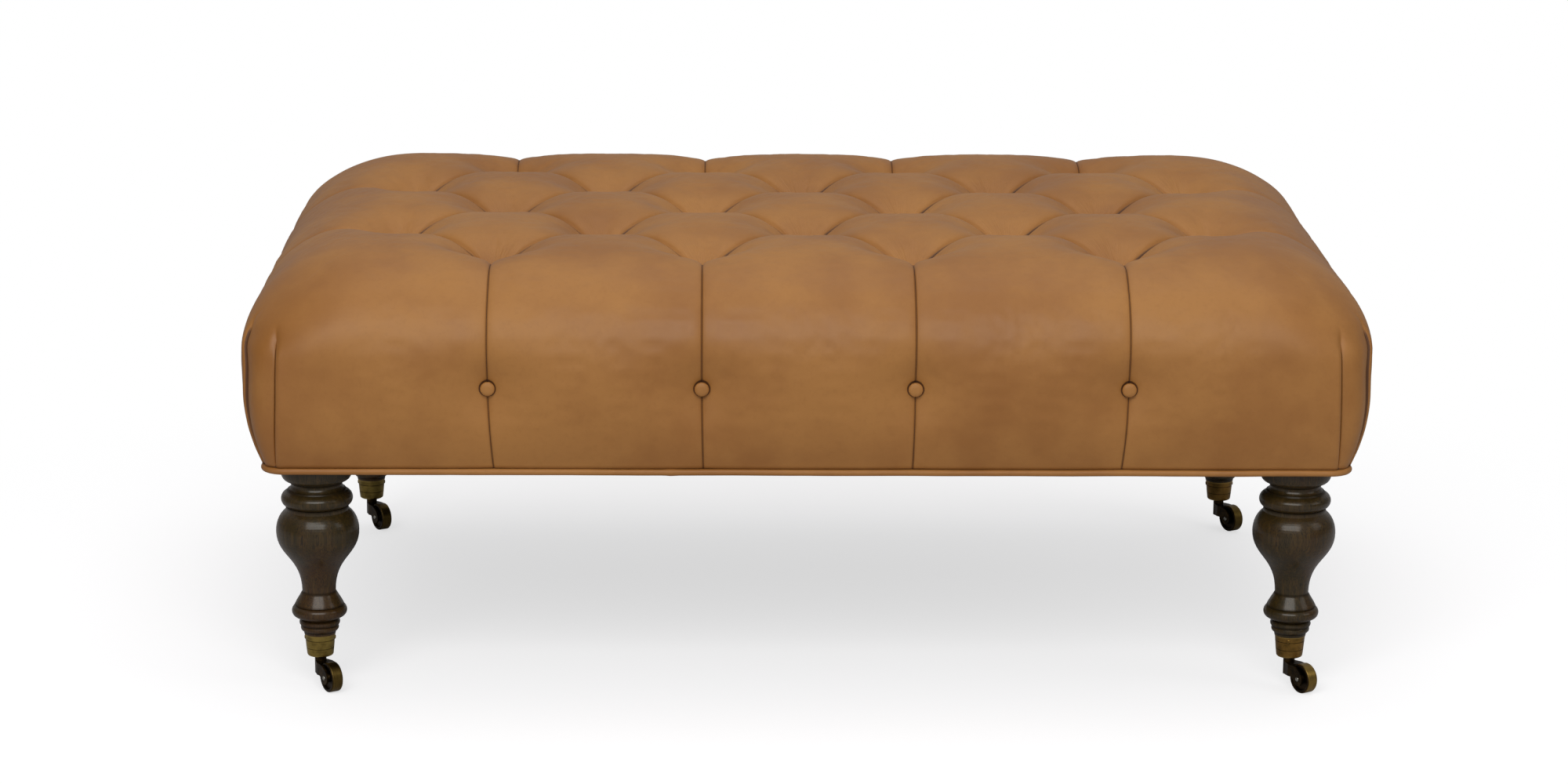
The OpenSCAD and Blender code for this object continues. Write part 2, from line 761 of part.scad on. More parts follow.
module cup(c) {
    outer = concat(
        [[pin_d / 2 + fit, 0]],
        arc_points(cup_r(0) - cup_edge, cup_edge, cup_edge, cup_edge, -90, -6, 5),
        // Turned lines round the cup
        [for (h = [9.2, 18.6], d = [-0.35, 0, 0.35]) [cup_r(h + d) - (d == 0 ? 0.35 : 0), h + d]],
        [[cup_r(cup_h - 1.4), cup_h - 1.4], [cup_r(cup_h) + 0.35, cup_h - 0.9]],
        [[cup_r(cup_h) + 0.35, cup_h], [cup_inner_r(cup_h), cup_h]]
    );
    inner = [[cup_inner_r(cup_base_t), cup_base_t], [pin_d / 2 + fit, cup_base_t]];
    color(brass) at_corner(c) difference() {
        translate([0, 0, caster_h]) rotate_extrude() polygon(concat(outer, inner));
        cup_screw_pair(c, fit);
    }
}

axle_z = wheel_d / 2;
slot_w = wheel_w + 2 * wheel_gap;
fork_w = slot_w + 2 * cheek_t;
fork_top = caster_h - 6;
fork_low = axle_z - 1.5;
neck_top = caster_h - swivel_gap;
ear_r = 7.4;
pin_foot = fork_top - 8;
pin_head_d = 1.7 * pin_d;

// Side view of the fork: a block under the neck that sweeps down to the axle's ears
module fork_side() {
    polygon(concat(
        [[-neck_d / 2, fork_low], [-neck_d / 2, fork_top]],
        arc_points(trail - 12, axle_z, 12 + ear_r, fork_top - axle_z, 90, 0, 12),
        arc_points(trail, axle_z, ear_r, ear_r, 0, -165, 12),
        [[trail - ear_r - 3, fork_low + 1.6]]
    ));
}

// Top view of the fork: narrow at the neck and flaring to the width of the cheeks
module fork_plan() {
    flare = trail - wheel_d / 2;
    circle(d = neck_d);
    polygon([
        [0, -neck_d / 2], [flare, -fork_w / 2], [trail + 2 * ear_r, -fork_w / 2],
        [trail + 2 * ear_r, fork_w / 2], [flare, fork_w / 2], [0, neck_d / 2]
    ]);
}

module fork(c) {
    tyre_r = wheel_d / 2 + 1;
    color(bronze) at_caster(c) difference() {
        union() {
            intersection() {
                translate([0, fork_w / 2, 0]) rotate([90, 0, 0]) linear_extrude(fork_w) fork_side();
                linear_extrude(fork_top) fork_plan();
            }
            translate([0, 0, fork_top - 1]) cylinder(d = neck_d, h = neck_top - fork_top + 1);
        }
        // Room for the wheel, open at the top and the back
        translate([trail, slot_w / 2, axle_z]) rotate([90, 0, 0]) cylinder(r = tyre_r, h = slot_w);
        translate([trail - 0.6 * tyre_r, -slot_w / 2, 0]) cube([2 * tyre_r, slot_w, caster_h]);
        translate([trail, fork_w / 2 + 1, axle_z])
            rotate([90, 0, 0]) cylinder(d = axle_d + 2 * fit, h = fork_w + 2);
        translate([0, 0, pin_foot]) cylinder(d = pin_d + 2 * fit, h = caster_h);
    }
}

// The swivel pin is fixed in the fork, and its head turns on the inside of the cup's base
module pin(c) {
    head_z = caster_h + cup_base_t + swivel_gap;
    color(steel) at_caster(c) {
        translate([0, 0, pin_foot]) cylinder(d = pin_d, h = head_z - pin_foot + eps);
        translate([0, 0, head_z]) cylinder(d1 = pin_head_d, d2 = pin_d, h = 1.8);
    }
}

module axle(c) {
    half = fork_w / 2;
    color(steel) at_caster(c) translate([trail, 0, axle_z]) rotate([90, 0, 0]) rotate_extrude()
        polygon(concat(
            [[0, -half - 1.3]],
            arc_points(0, -half, 1.25 * axle_d / 2, 1.3, -70, 0, 5),
            [[axle_d / 2, -half], [axle_d / 2, half]],
            arc_points(0, half, 1.25 * axle_d / 2, 1.3, 0, 70, 5),
            [[0, half + 1.3]]
        ));
}

// The wheel has a flat tread with rounded edges, dished sides and a raised hub
module wheel(c) {
    r = wheel_d / 2;
    half = wheel_w / 2;
    edge = 1.6;
    dish = 2.6;
    rim_r = r - 3.2;
    hub_r = axle_d / 2 + 2.6;
    side = concat(
        [[axle_d / 2 + fit, half + 0.3], [hub_r, half + 0.3], [hub_r + 0.8, half - dish]],
        [[rim_r - 1, half - dish], [rim_r, half - 0.3]],
        arc_points(r - edge, half - edge, edge, edge, 90, 0, 5)
    );
    other = [for (k = [len(side) - 1 : -1 : 0]) [side[k][0], -side[k][1]]];
    color(bronze) at_caster(c) translate([trail, 0, axle_z]) rotate([90, 0, 0])
        rotate_extrude() polygon(concat(side, other));
}

tufted_cover();
base_foam();
deck_panel();
dust_cover();
welt_cord();
long_rail(-1);  // front_rail
long_rail(1);  // rear_rail
end_rail(-1);  // left_rail
end_rail(1);  // right_rail
cross_rails();
rail_dowels();
corner_blocks();
block_screws();
deck_screws();
hanger_bolts();
bolt_washers();
bolt_nuts();
top_buttons();
long_side_buttons(-1);  // front_buttons
long_side_buttons(1);  // rear_buttons
end_buttons(-1);  // left_buttons
end_buttons(1);  // right_buttons
top_twines();
side_twines();
deck_anchors();
rail_anchors();
leg(front_left);  // leg_front_left
leg(front_right);  // leg_front_right
leg(rear_left);  // leg_rear_left
leg(rear_right);  // leg_rear_right
cup(front_left);  // cup_front_left
cup(front_right);  // cup_front_right
cup(rear_left);  // cup_rear_left
cup(rear_right);  // cup_rear_right
cup_screws();
fork(front_left);  // fork_front_left
fork(front_right);  // fork_front_right
fork(rear_left);  // fork_rear_left
fork(rear_right);  // fork_rear_right
pin(front_left);  // pin_front_left
pin(front_right);  // pin_front_right
pin(rear_left);  // pin_rear_left
pin(rear_right);  // pin_rear_right
axle(front_left);  // axle_front_left
axle(front_right);  // axle_front_right
axle(rear_left);  // axle_rear_left
axle(rear_right);  // axle_rear_right
wheel(front_left);  // wheel_front_left
wheel(front_right);  // wheel_front_right
wheel(rear_left);  // wheel_rear_left
wheel(rear_right);  // wheel_rear_right
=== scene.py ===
import functools
import math
import bpy
import numpy as np
from mathutils import Matrix, Vector


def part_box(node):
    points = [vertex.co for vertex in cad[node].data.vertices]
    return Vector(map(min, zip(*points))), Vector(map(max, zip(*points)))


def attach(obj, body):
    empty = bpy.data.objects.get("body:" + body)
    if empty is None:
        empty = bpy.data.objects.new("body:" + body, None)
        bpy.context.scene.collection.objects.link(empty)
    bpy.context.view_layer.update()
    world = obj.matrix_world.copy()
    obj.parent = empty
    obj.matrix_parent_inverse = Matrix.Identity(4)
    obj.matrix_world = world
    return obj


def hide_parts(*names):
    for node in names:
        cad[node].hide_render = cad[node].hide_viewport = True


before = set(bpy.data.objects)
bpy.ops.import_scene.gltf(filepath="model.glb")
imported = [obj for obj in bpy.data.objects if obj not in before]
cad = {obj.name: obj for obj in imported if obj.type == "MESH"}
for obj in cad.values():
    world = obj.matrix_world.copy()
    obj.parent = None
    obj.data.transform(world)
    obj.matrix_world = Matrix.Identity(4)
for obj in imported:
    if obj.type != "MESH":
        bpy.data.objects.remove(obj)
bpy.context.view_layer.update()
mm = 0.001
print("model loaded")


# A socket of a node tree, so that its maths reads as an expression
class Wire:
    def __init__(self, graph, socket):
        self.graph, self.socket = graph, socket

    def math(self, operation, *values):
        return self.graph.node("ShaderNodeMath", dict(enumerate(values)), operation=operation)

    # The X, Y and Z of a vector
    def axes(self):
        split = self.graph.node("ShaderNodeSeparateXYZ", {0: self}).socket.node
        return [Wire(self.graph, out) for out in split.outputs]

    # 0 below low, 1 above high, smooth between
    def rise(self, low, high):
        return self.graph.node("ShaderNodeMapRange", {"Value": self, "From Min": low, "From Max": high},
                               interpolation_type="SMOOTHSTEP")


for name, operation in (("add", "ADD"), ("sub", "SUBTRACT"), ("mul", "MULTIPLY")):
    setattr(Wire, f"__{name}__", lambda a, b, kind=operation: a.math(kind, a, b))
    setattr(Wire, f"__r{name}__", lambda a, b, kind=operation: a.math(kind, b, a))
for name, operation in (("__abs__", "ABSOLUTE"), ("least", "MINIMUM"), ("most", "MAXIMUM"),
                        ("sine", "SINE"), ("root", "SQRT"), ("rounded", "ROUND"), ("angle", "ARCTAN2")):
    setattr(Wire, name, lambda *wires, kind=operation: wires[0].math(kind, *wires))


class Graph:
    def __init__(self, tree):
        self.tree = tree
        tree.nodes.clear()

    # A new node with its inputs and settings; gives one of its outputs
    def node(self, kind, sockets=None, out=0, **settings):
        made = self.tree.nodes.new(kind)
        for key, value in settings.items():
            setattr(made, key, value)
        for key, value in (sockets or {}).items():
            if isinstance(value, Wire):
                self.tree.links.new(value.socket, made.inputs[key])
            else:
                made.inputs[key].default_value = value
        return Wire(self, made.outputs[out]) if made.outputs else made

    def vector(self, operation, first, second, out=0):
        return self.node("ShaderNodeVectorMath", {0: first, 1: second}, out, operation=operation)

    # One thing for the light, another for the camera
    def forCamera(self, lit, shown):
        seen = self.node("ShaderNodeLightPath", out="Is Camera Ray")
        return self.node("ShaderNodeMixShader", {0: seen, 1: lit, 2: shown})


# A colour as written in a picture, made linear
def tint(code, share=1.0):
    parts = [int(code[i:i + 2], 16) / 255 for i in (1, 3, 5)]
    return tuple(share * (c / 12.92 if c <= 0.04045 else ((c + 0.055) / 1.055) ** 2.4)
                 for c in parts) + (1.0,)


# A material over the piece's own coordinates
class Recipe(Graph):
    def __init__(self, name):
        self.material = bpy.data.materials.new(name)
        self.material.use_nodes = True
        super().__init__(self.material.node_tree)
        self.at = self.node("ShaderNodeTexCoord", out="Object")

    # Noise at the piece's places or at those given; stretch draws it out or squeezes it by axis
    def noise(self, scale, detail=4.0, roughness=0.6, stretch=None, at=None, **more):
        at = self.at if at is None else at
        at = self.vector("MULTIPLY", at, stretch) if stretch else at
        return self.node("ShaderNodeTexNoise", {"Vector": at, "Scale": scale, "Detail": detail,
                                                "Roughness": roughness, **more})

    def cells(self, scale, **settings):
        return self.node("ShaderNodeTexVoronoi", {"Vector": self.at, "Scale": scale, "Randomness": 1.0},
                         **settings)

    def mix(self, share, first, second):
        first, second = (tint(c) if isinstance(c, str) else c for c in (first, second))
        return self.node("ShaderNodeMix", {0: share, 6: first, 7: second}, 2, data_type="RGBA")

    # Colours laid over the first, each by its own share
    def layers(self, colour, *coats):
        for share, coat in coats:
            colour = self.mix(share, colour, coat)
        return colour

    # 1 at the heights given, 0 further from them than the reach, in mm
    def nearHeights(self, heights, reach):
        z = self.at.axes()[2] * 1000
        return functools.reduce(Wire.most, [1 - abs(z - height).rise(0.0, reach) for height in heights])

    def bump(self, height, distance, strength=0.5, under=None):
        sockets = {"Height": height, "Distance": distance, "Strength": strength}
        if under is not None:
            sockets["Normal"] = under
        return self.node("ShaderNodeBump", sockets)

    def finish(self, **sockets):
        names = {"colour": "Base Color", "roughness": "Roughness", "metallic": "Metallic",
                 "normal": "Normal", "coat": "Coat Weight", "coatRoughness": "Coat Roughness",
                 "specular": "Specular IOR Level", "sheen": "Sheen Weight",
                 "sheenRoughness": "Sheen Roughness"}
        surface = self.node("ShaderNodeBsdfPrincipled", {names[k]: v for k, v in sockets.items()})
        self.node("ShaderNodeOutputMaterial", {"Surface": surface})
        return self.material


# The material that a function mixes, under the function's name
def materialOf(build):
    return build(Recipe(build.__name__))


# The four corners of every square of a grid
def quads(grid):
    return grid[:-1, :-1], grid[1:, :-1], grid[1:, 1:], grid[:-1, 1:]


# An object from points in mm
def meshObject(name, points, faces, material):
    mesh = bpy.data.meshes.new(name)
    mesh.from_pydata((np.asarray(points, float) * mm).tolist(), [], faces)
    mesh.materials.append(material)
    mesh.shade_smooth()
    made = bpy.data.objects.new(name, mesh)
    bpy.context.collection.objects.link(made)
    return made


# A skin over rings of points, each anticlockwise as the rings climb; a ring of one point is a tip
def skin(name, rings, material, closed=False, capped=False):
    starts = np.cumsum([0] + [len(ring) for ring in rings])
    rows = [list(range(first, first + len(ring))) for first, ring in zip(starts.tolist(), rings)]
    faces = []
    for low, high in zip(rows, rows[1:] + rows[:1] if closed else rows[1:]):
        for n in range(max(len(low), len(high))):
            m = (n + 1) % max(len(low), len(high))
            if len(low) == 1:
                faces.append((low[0], high[m], high[n]))
            elif len(high) == 1:
                faces.append((low[n], low[m], high[0]))
            else:
                faces.append((low[n], low[m], high[m], high[n]))
    if capped:
        faces += [rows[0][::-1], rows[-1]]
    return meshObject(name, [point for ring in rings for point in ring], faces, material)


# A turned form from (radius, height) pairs, about Z
def turned(name, profile, count, material, wobble):
    rings = []
    for radius, height in profile:
        ring = []
        for n in range(count if radius else 1):
            a = 2 * math.pi * n / count
            r, z = wobble(radius, height, a) if radius else (0, height)
            ring.append((r * math.cos(a), r * math.sin(a), z))
        rings.append(ring)
    return skin(name, rings, material)


def finishPiece(piece, nodes):
    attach(piece, "base")
    if nodes:
        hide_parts(*nodes)


# Camera, floor and light
shot = {
    "focal": 5130.24, "wide": 2000,        # in pixels
    "place": (-90.66, -4616.78, 1387.77),  # in mm
    "pitch": 13.772, "yaw": 0.86, "roll": 0.33, "middle": 999.5, "sensor": 36,
}


def makeCamera():
    data = bpy.data.cameras.new("camera")
    data.sensor_width = shot["sensor"]
    data.lens = shot["focal"] * shot["sensor"] / shot["wide"]
    data.shift_x = (shot["wide"] / 2 - shot["middle"]) / shot["wide"]
    data.clip_start, data.clip_end = 0.1, 60
    pitch, yaw, roll = (math.radians(shot[k]) for k in ("pitch", "yaw", "roll"))
    ahead = Vector((math.sin(yaw) * math.cos(pitch), math.cos(yaw) * math.cos(pitch), -math.sin(pitch)))
    side = Vector((math.cos(yaw), -math.sin(yaw), 0))
    up = side.cross(ahead)
    side, up = (math.cos(roll) * side + math.sin(roll) * up,
                math.cos(roll) * up - math.sin(roll) * side)
    camera = bpy.data.objects.new("camera", data)
    bpy.context.collection.objects.link(camera)
    turn = Matrix((side, up, -ahead)).transposed()
    camera.matrix_world = Matrix.Translation(Vector(shot["place"]) * mm) @ turn.to_4x4()
    bpy.context.scene.camera = camera


# The floor glows to the camera only, and fades to white between nearAt and farAt
studio = {
    "floorColour": "#c5c5c9", "floorGlow": 0.63, "farGlow": 1.0, "nearAt": 0.55, "farAt": 1.5,
    "floorHalf": 9000, "sky": 0.4, "sideSky": 0.35, "sideFrom": 0.45, "sideTo": 0.95,
    "lampColour": (1.0, 0.985, 0.94),
    "softboxes": [
        # place, aim, width, depth, power
        ((-0.5, -3.4, 2.85), (0, 0, 0.35), 3.6, 2.0, 84),
        ((0.2, 0.5, 3.6), (0, 0, 0.4), 3.2, 2.2, 22),
        ((3.4, -1.4, 2.2), (0, 0, 0.3), 1.6, 1.6, 9),
    ],
}


def makeFloor():
    recipe = Recipe("paleFloor")
    lit = recipe.node("ShaderNodeBsdfDiffuse", {"Color": tint(studio["floorColour"])})
    spot = recipe.vector("MULTIPLY", recipe.at, (1.0, 1.2, 0.0))
    far = recipe.node("ShaderNodeVectorMath", {0: spot}, "Value", operation="LENGTH")
    glow, white = (recipe.node("ShaderNodeEmission", {"Strength": studio[key]})
                   for key in ("floorGlow", "farGlow"))
    both = recipe.node("ShaderNodeAddShader", {0: lit, 1: glow})
    fade = far.rise(studio["nearAt"], studio["farAt"])
    faded = recipe.node("ShaderNodeMixShader", {0: fade, 1: both, 2: white})
    recipe.node("ShaderNodeOutputMaterial", {"Surface": recipe.forCamera(lit, faded)})
    half = studio["floorHalf"]
    corners = [(-half, -half, 0), (half, -half, 0), (half, half, 0), (-half, half, 0)]
    meshObject("floor", corners, [(0, 1, 2, 3)], recipe.material)


# A white backdrop to the camera; dimmer at both sides for the light, as between dark screens
def makeSky():
    world = bpy.data.worlds.new("studio")
    bpy.context.scene.world = world
    world.use_nodes = True
    room = Graph(world.node_tree)
    sideways = abs(room.node("ShaderNodeTexCoord", out="Generated").axes()[0])
    dim = sideways.rise(studio["sideFrom"], studio["sideTo"]) * (1 - studio["sideSky"])
    sky, white = (room.node("ShaderNodeBackground", {"Color": (1, 1, 1, 1), "Strength": strength})
                  for strength in (studio["sky"] * (1 - dim), 1.0))
    room.node("ShaderNodeOutputWorld", {"Surface": room.forCamera(sky, white)})


def makeLamps():
    for number, (place, aim, width, depth, power) in enumerate(studio["softboxes"]):
        data = bpy.data.lights.new(f"softbox{number}", "AREA")
        data.shape, data.size, data.size_y, data.energy = "RECTANGLE", width, depth, power
        data.color = studio["lampColour"]
        lamp = bpy.data.objects.new(f"softbox{number}", data)
        bpy.context.collection.objects.link(lamp)
        lamp.location = place
        lamp.rotation_euler = (Vector(aim) - Vector(place)).to_track_quat("-Z", "Y").to_euler()


makeCamera()
makeFloor()
makeSky()
makeLamps()
bpy.context.scene.view_settings.view_transform = "Standard"
print("camera, floor and light ready")

# The tufted seat's form, in mm
seat = {
    "frameLength": 1180, "frameDepth": 752, "frameBottom": 259, "frameBend": 20.3,
    "deckTop": 386, "foamTop": 434, "foamInset": 14, "crest": 491,
    "pitch": 231.5, "rowPitch": 125, "columns": 4, "rows": 2,
    "tuftDepth": 45, "seamRise": 29.5, "fullness": 0.42, "crease": 4.0,
    "swell": 29, "shoulderRun": 150, "widest": 390, "shoulderDrop": 101,
    "buttonLevel": 355, "dentDepth": 15, "dentWide": 36, "dimple": 4.5, "dimpleHigh": 30,
    "pleatFine": 4.5, "pleatBroad": 30, "pleatBlend": 85,
    "hem": 262.9, "hemOut": 5.5, "hemBend": 22, "cornerRadius": 62, "lining": 0.3,
    # the pleats lean in below the buttons: by how much, how far from the middle, over what height
    "hemShift": 5, "hemShiftAt": 347, "hemShiftRun": 92,
    # the corner's two folds: how far from the middle, how far they lean, how high they begin
    "foldLong": 575, "foldLongLean": 4, "foldLongFrom": 400, "foldLongRun": 137, "foldLongTop": 412,
    "foldEnd": 364, "foldEndLean": 30, "foldEndFrom": 365, "foldEndRun": 60, "foldEndTop": 422,
    "foldFade": 18, "foldDepth": 3.4, "slit": 3.6, "slitWide": 0.8, "panelEdge": 2.0,
    "foldRoll": 1.0, "rollAt": 4.2, "rollWide": 3, "pinch": 4.0, "endPinch": 0.3, "pinchUnder": 5,
    "pinchHigh": 10, "pinchAt": 0.5, "pinchWide": 4.5, "skirtTop": 462,
    # the grid's lines crowd round the place of each fold, a share of the way to the corner
    "foldShare": 0.8, "cornerWay": 143,
    "foldLines": (-6, -4, -2.6, -1.5, -0.7, -0.2, 0, 0.5, 1.2, 2.4, 4.2),
    "cellSteps": 32, "rimSteps": 30, "skirtSteps": 48,
    # how dark the painted shade in the seams, pleats and hem is, and the leather's slow unevenness: size
    # and height
    "seamShadePower": 2.6, "pleatShade": 0.45, "pleatFull": 14, "hemShade": 0.8,
    "sway": ((95, 1.3), (38, 0.45)), "swayFrom": 285, "swayRun": 60, "swayMiddle": 330.0, "seed": 7,
}
halfPitch, rowPitch = seat["pitch"] / 2, seat["rowPitch"]
halfL, halfD = seat["frameLength"] / 2, seat["frameDepth"] / 2
tufts = [(c * halfPitch, r * rowPitch) for r in range(-2, 3) for c in range(-4, 5) if (r + c) % 2]
pleatsX, pleatsY = (-3, -1, 1, 3), (-1, 1)


# A smooth curve through given points that doesn't overshoot them
def through(xs, ys, at):
    xs, ys = np.asarray(xs, float), np.asarray(ys, float)
    step, slope = np.diff(xs), np.diff(ys) / np.diff(xs)
    lean = np.zeros(len(xs))
    lean[0], lean[-1] = slope[0], slope[-1]
    same = slope[:-1] * slope[1:] > 0
    lean[1:-1][same] = (2 * slope[:-1] * slope[1:])[same] / (slope[:-1] + slope[1:])[same]
    k = np.clip(np.searchsorted(xs, at) - 1, 0, len(xs) - 2)
    t = np.clip((at - xs[k]) / step[k], 0, 1)
    return (ys[k] * (1 + 2 * t) * (1 - t) ** 2 + lean[k] * step[k] * t * (1 - t) ** 2
            + ys[k + 1] * t * t * (3 - 2 * t) + lean[k + 1] * step[k] * t * t * (t - 1))


# Places from start to end that crowd round the given spots
def crowded(start, end, count, spots, gain, width):
    fine = np.linspace(start, end, 2001)
    weight = 1 + sum(gain * np.exp(-((fine - spot) / width) ** 2) for spot in spots)
    run = np.concatenate([[0], np.cumsum((weight[1:] + weight[:-1]) / 2)])
    return np.interp(np.linspace(0, run[-1], count + 1), run, fine)


def smooth(t):
    t = np.clip(t, 0, 1)
    return t * t * (3 - 2 * t)


# Smooth random values over space, from a small grid of fixed random numbers
def ripple(points, size, seed):
    count = 24
    cells = np.random.default_rng(seed).uniform(-1, 1, (count,) * 3)
    at = points / size + 7.3
    base = np.floor(at).astype(int)
    t = smooth(at - base)
    total = 0
    for step in np.ndindex(2, 2, 2):
        share = np.prod(np.abs(1 - np.array(step) - t), axis=1)
        total = total + share * cells[tuple(((base + step) % count).T)]
    return total


# The section of the seat's edge between two pleats: distance out from the frame, and height
def edgeSection():
    s = seat
    half = s["columns"] * halfPitch - halfL
    angle = np.radians(np.linspace(90, 0, 200))
    out = s["swell"] - s["shoulderRun"] * (1 - np.cos(angle))
    up = s["widest"] + s["shoulderDrop"] * np.sin(angle)
    low = np.linspace(s["widest"], s["hem"], 120)[1:]
    knots = [s["hem"], 285, 309, 335, s["buttonLevel"], 375, s["widest"]]
    outs = [s["hemOut"], 14.2, 21, 25.3, s["swell"] - 2, s["swell"] - 0.5, s["swell"]]
    out = np.concatenate([[half], out, through(knots, outs, low)])
    up = np.concatenate([[s["crest"]], up, low])
    run = np.concatenate([[0], np.cumsum(np.hypot(np.diff(out), np.diff(up)))])
    split = np.interp(-s["skirtTop"], -up, run)
    at = np.concatenate([np.linspace(0, split, s["rimSteps"] + 1),
                         np.linspace(split, run[-1], s["skirtSteps"] + 1)[1:]])
    px, pz = np.interp(at, run, out), np.interp(at, run, up)
    tx, tz = np.gradient(px), np.gradient(pz)
    length = np.hypot(tx, tz)
    # the run at the heights where the section's measures are given
    heights = (485.6, 473.6, 457.7, 437.5, 414.5, 390, 355, 309)
    levels = [0] + [np.interp(-height, -up, run) for height in heights] + [run[-1]]
    return {"out": px, "up": pz, "normalOut": -tz / length, "normalUp": tx / length,
            "run": at, "levels": levels}


section = edgeSection()


# How far in a diamond's skin lies, from 1 at a tuft to 0 at its crown; u and v are 0 on its seams
def dome(u, v):
    seam = (u ** 4 + v ** 4 - u ** 4 * v ** 4) ** 0.25
    rise = seat["seamRise"] / seat["tuftDepth"]
    crease = seat["crease"] / seat["tuftDepth"] * (np.exp(-u * 18) + np.exp(-v * 18))
    return (1 - rise * seam ** 0.9 - (1 - rise) * (u * v) ** seat["fullness"]
            + crease * np.minimum(1, seam * 2.5))


def fieldDepth(col, row):
    u = np.abs(np.sin(np.pi / 2 * (col + row - 1)))
    v = np.abs(np.sin(np.pi / 2 * (col - row - 1)))
    return seat["tuftDepth"] * dome(u, v)


# A way along a rounded corner, as the way along its side and the way in
def roundCorner(way, side, r):
    r = np.maximum(r, 1e-6)
    turn = np.clip((way - side + r) / r, 0, None)
    bent = turn > 0
    return (np.where(bent, side - r + r * np.sin(turn), way),
            np.where(bent, r * (1 - np.cos(turn)), 0))


# A grid place: how far past the field it is, over which edge, its column and row, and its
# share of the way from the field's corner to the seat's
class Places:
    def __init__(self, cover, i, j):
        s = seat
        self.u, self.v = np.maximum(0, np.abs(i) - cover.halfX), np.maximum(0, np.abs(j) - cover.halfY)
        self.onEnd = self.u >= self.v
        self.col = np.interp(np.abs(i), np.arange(cover.halfX + 1), cover.col[cover.halfX:])
        self.row = np.interp(np.abs(j), np.arange(cover.halfY + 1), cover.row[cover.halfY:])
        self.signs = np.where(i < 0, -1, 1), np.where(j < 0, -1, 1)
        least, most = np.minimum(self.u, self.v), np.maximum(np.maximum(self.u, self.v), 1)
        self.share = np.interp(least / most * cover.rim, np.arange(cover.rim + 1), cover.share)
        self.fieldX, self.fieldY = s["columns"] * halfPitch, s["rows"] * rowPitch
        self.side = np.where(self.onEnd, halfD - self.fieldY, halfL - self.fieldX)

    # Points from the way along their side, the way out from the frame and the height
    def points(self, along, out, height, shift=1):
        x = np.where(self.u > 0, self.fieldX + along, self.col * halfPitch * shift)
        y = np.where(self.v > 0, self.fieldY + along, self.row * rowPitch * shift)
        x, y = np.where(self.onEnd, halfL + out, x), np.where(self.onEnd, y, halfD + out)
        return np.stack([self.signs[0] * x, self.signs[1] * y, height], -1)


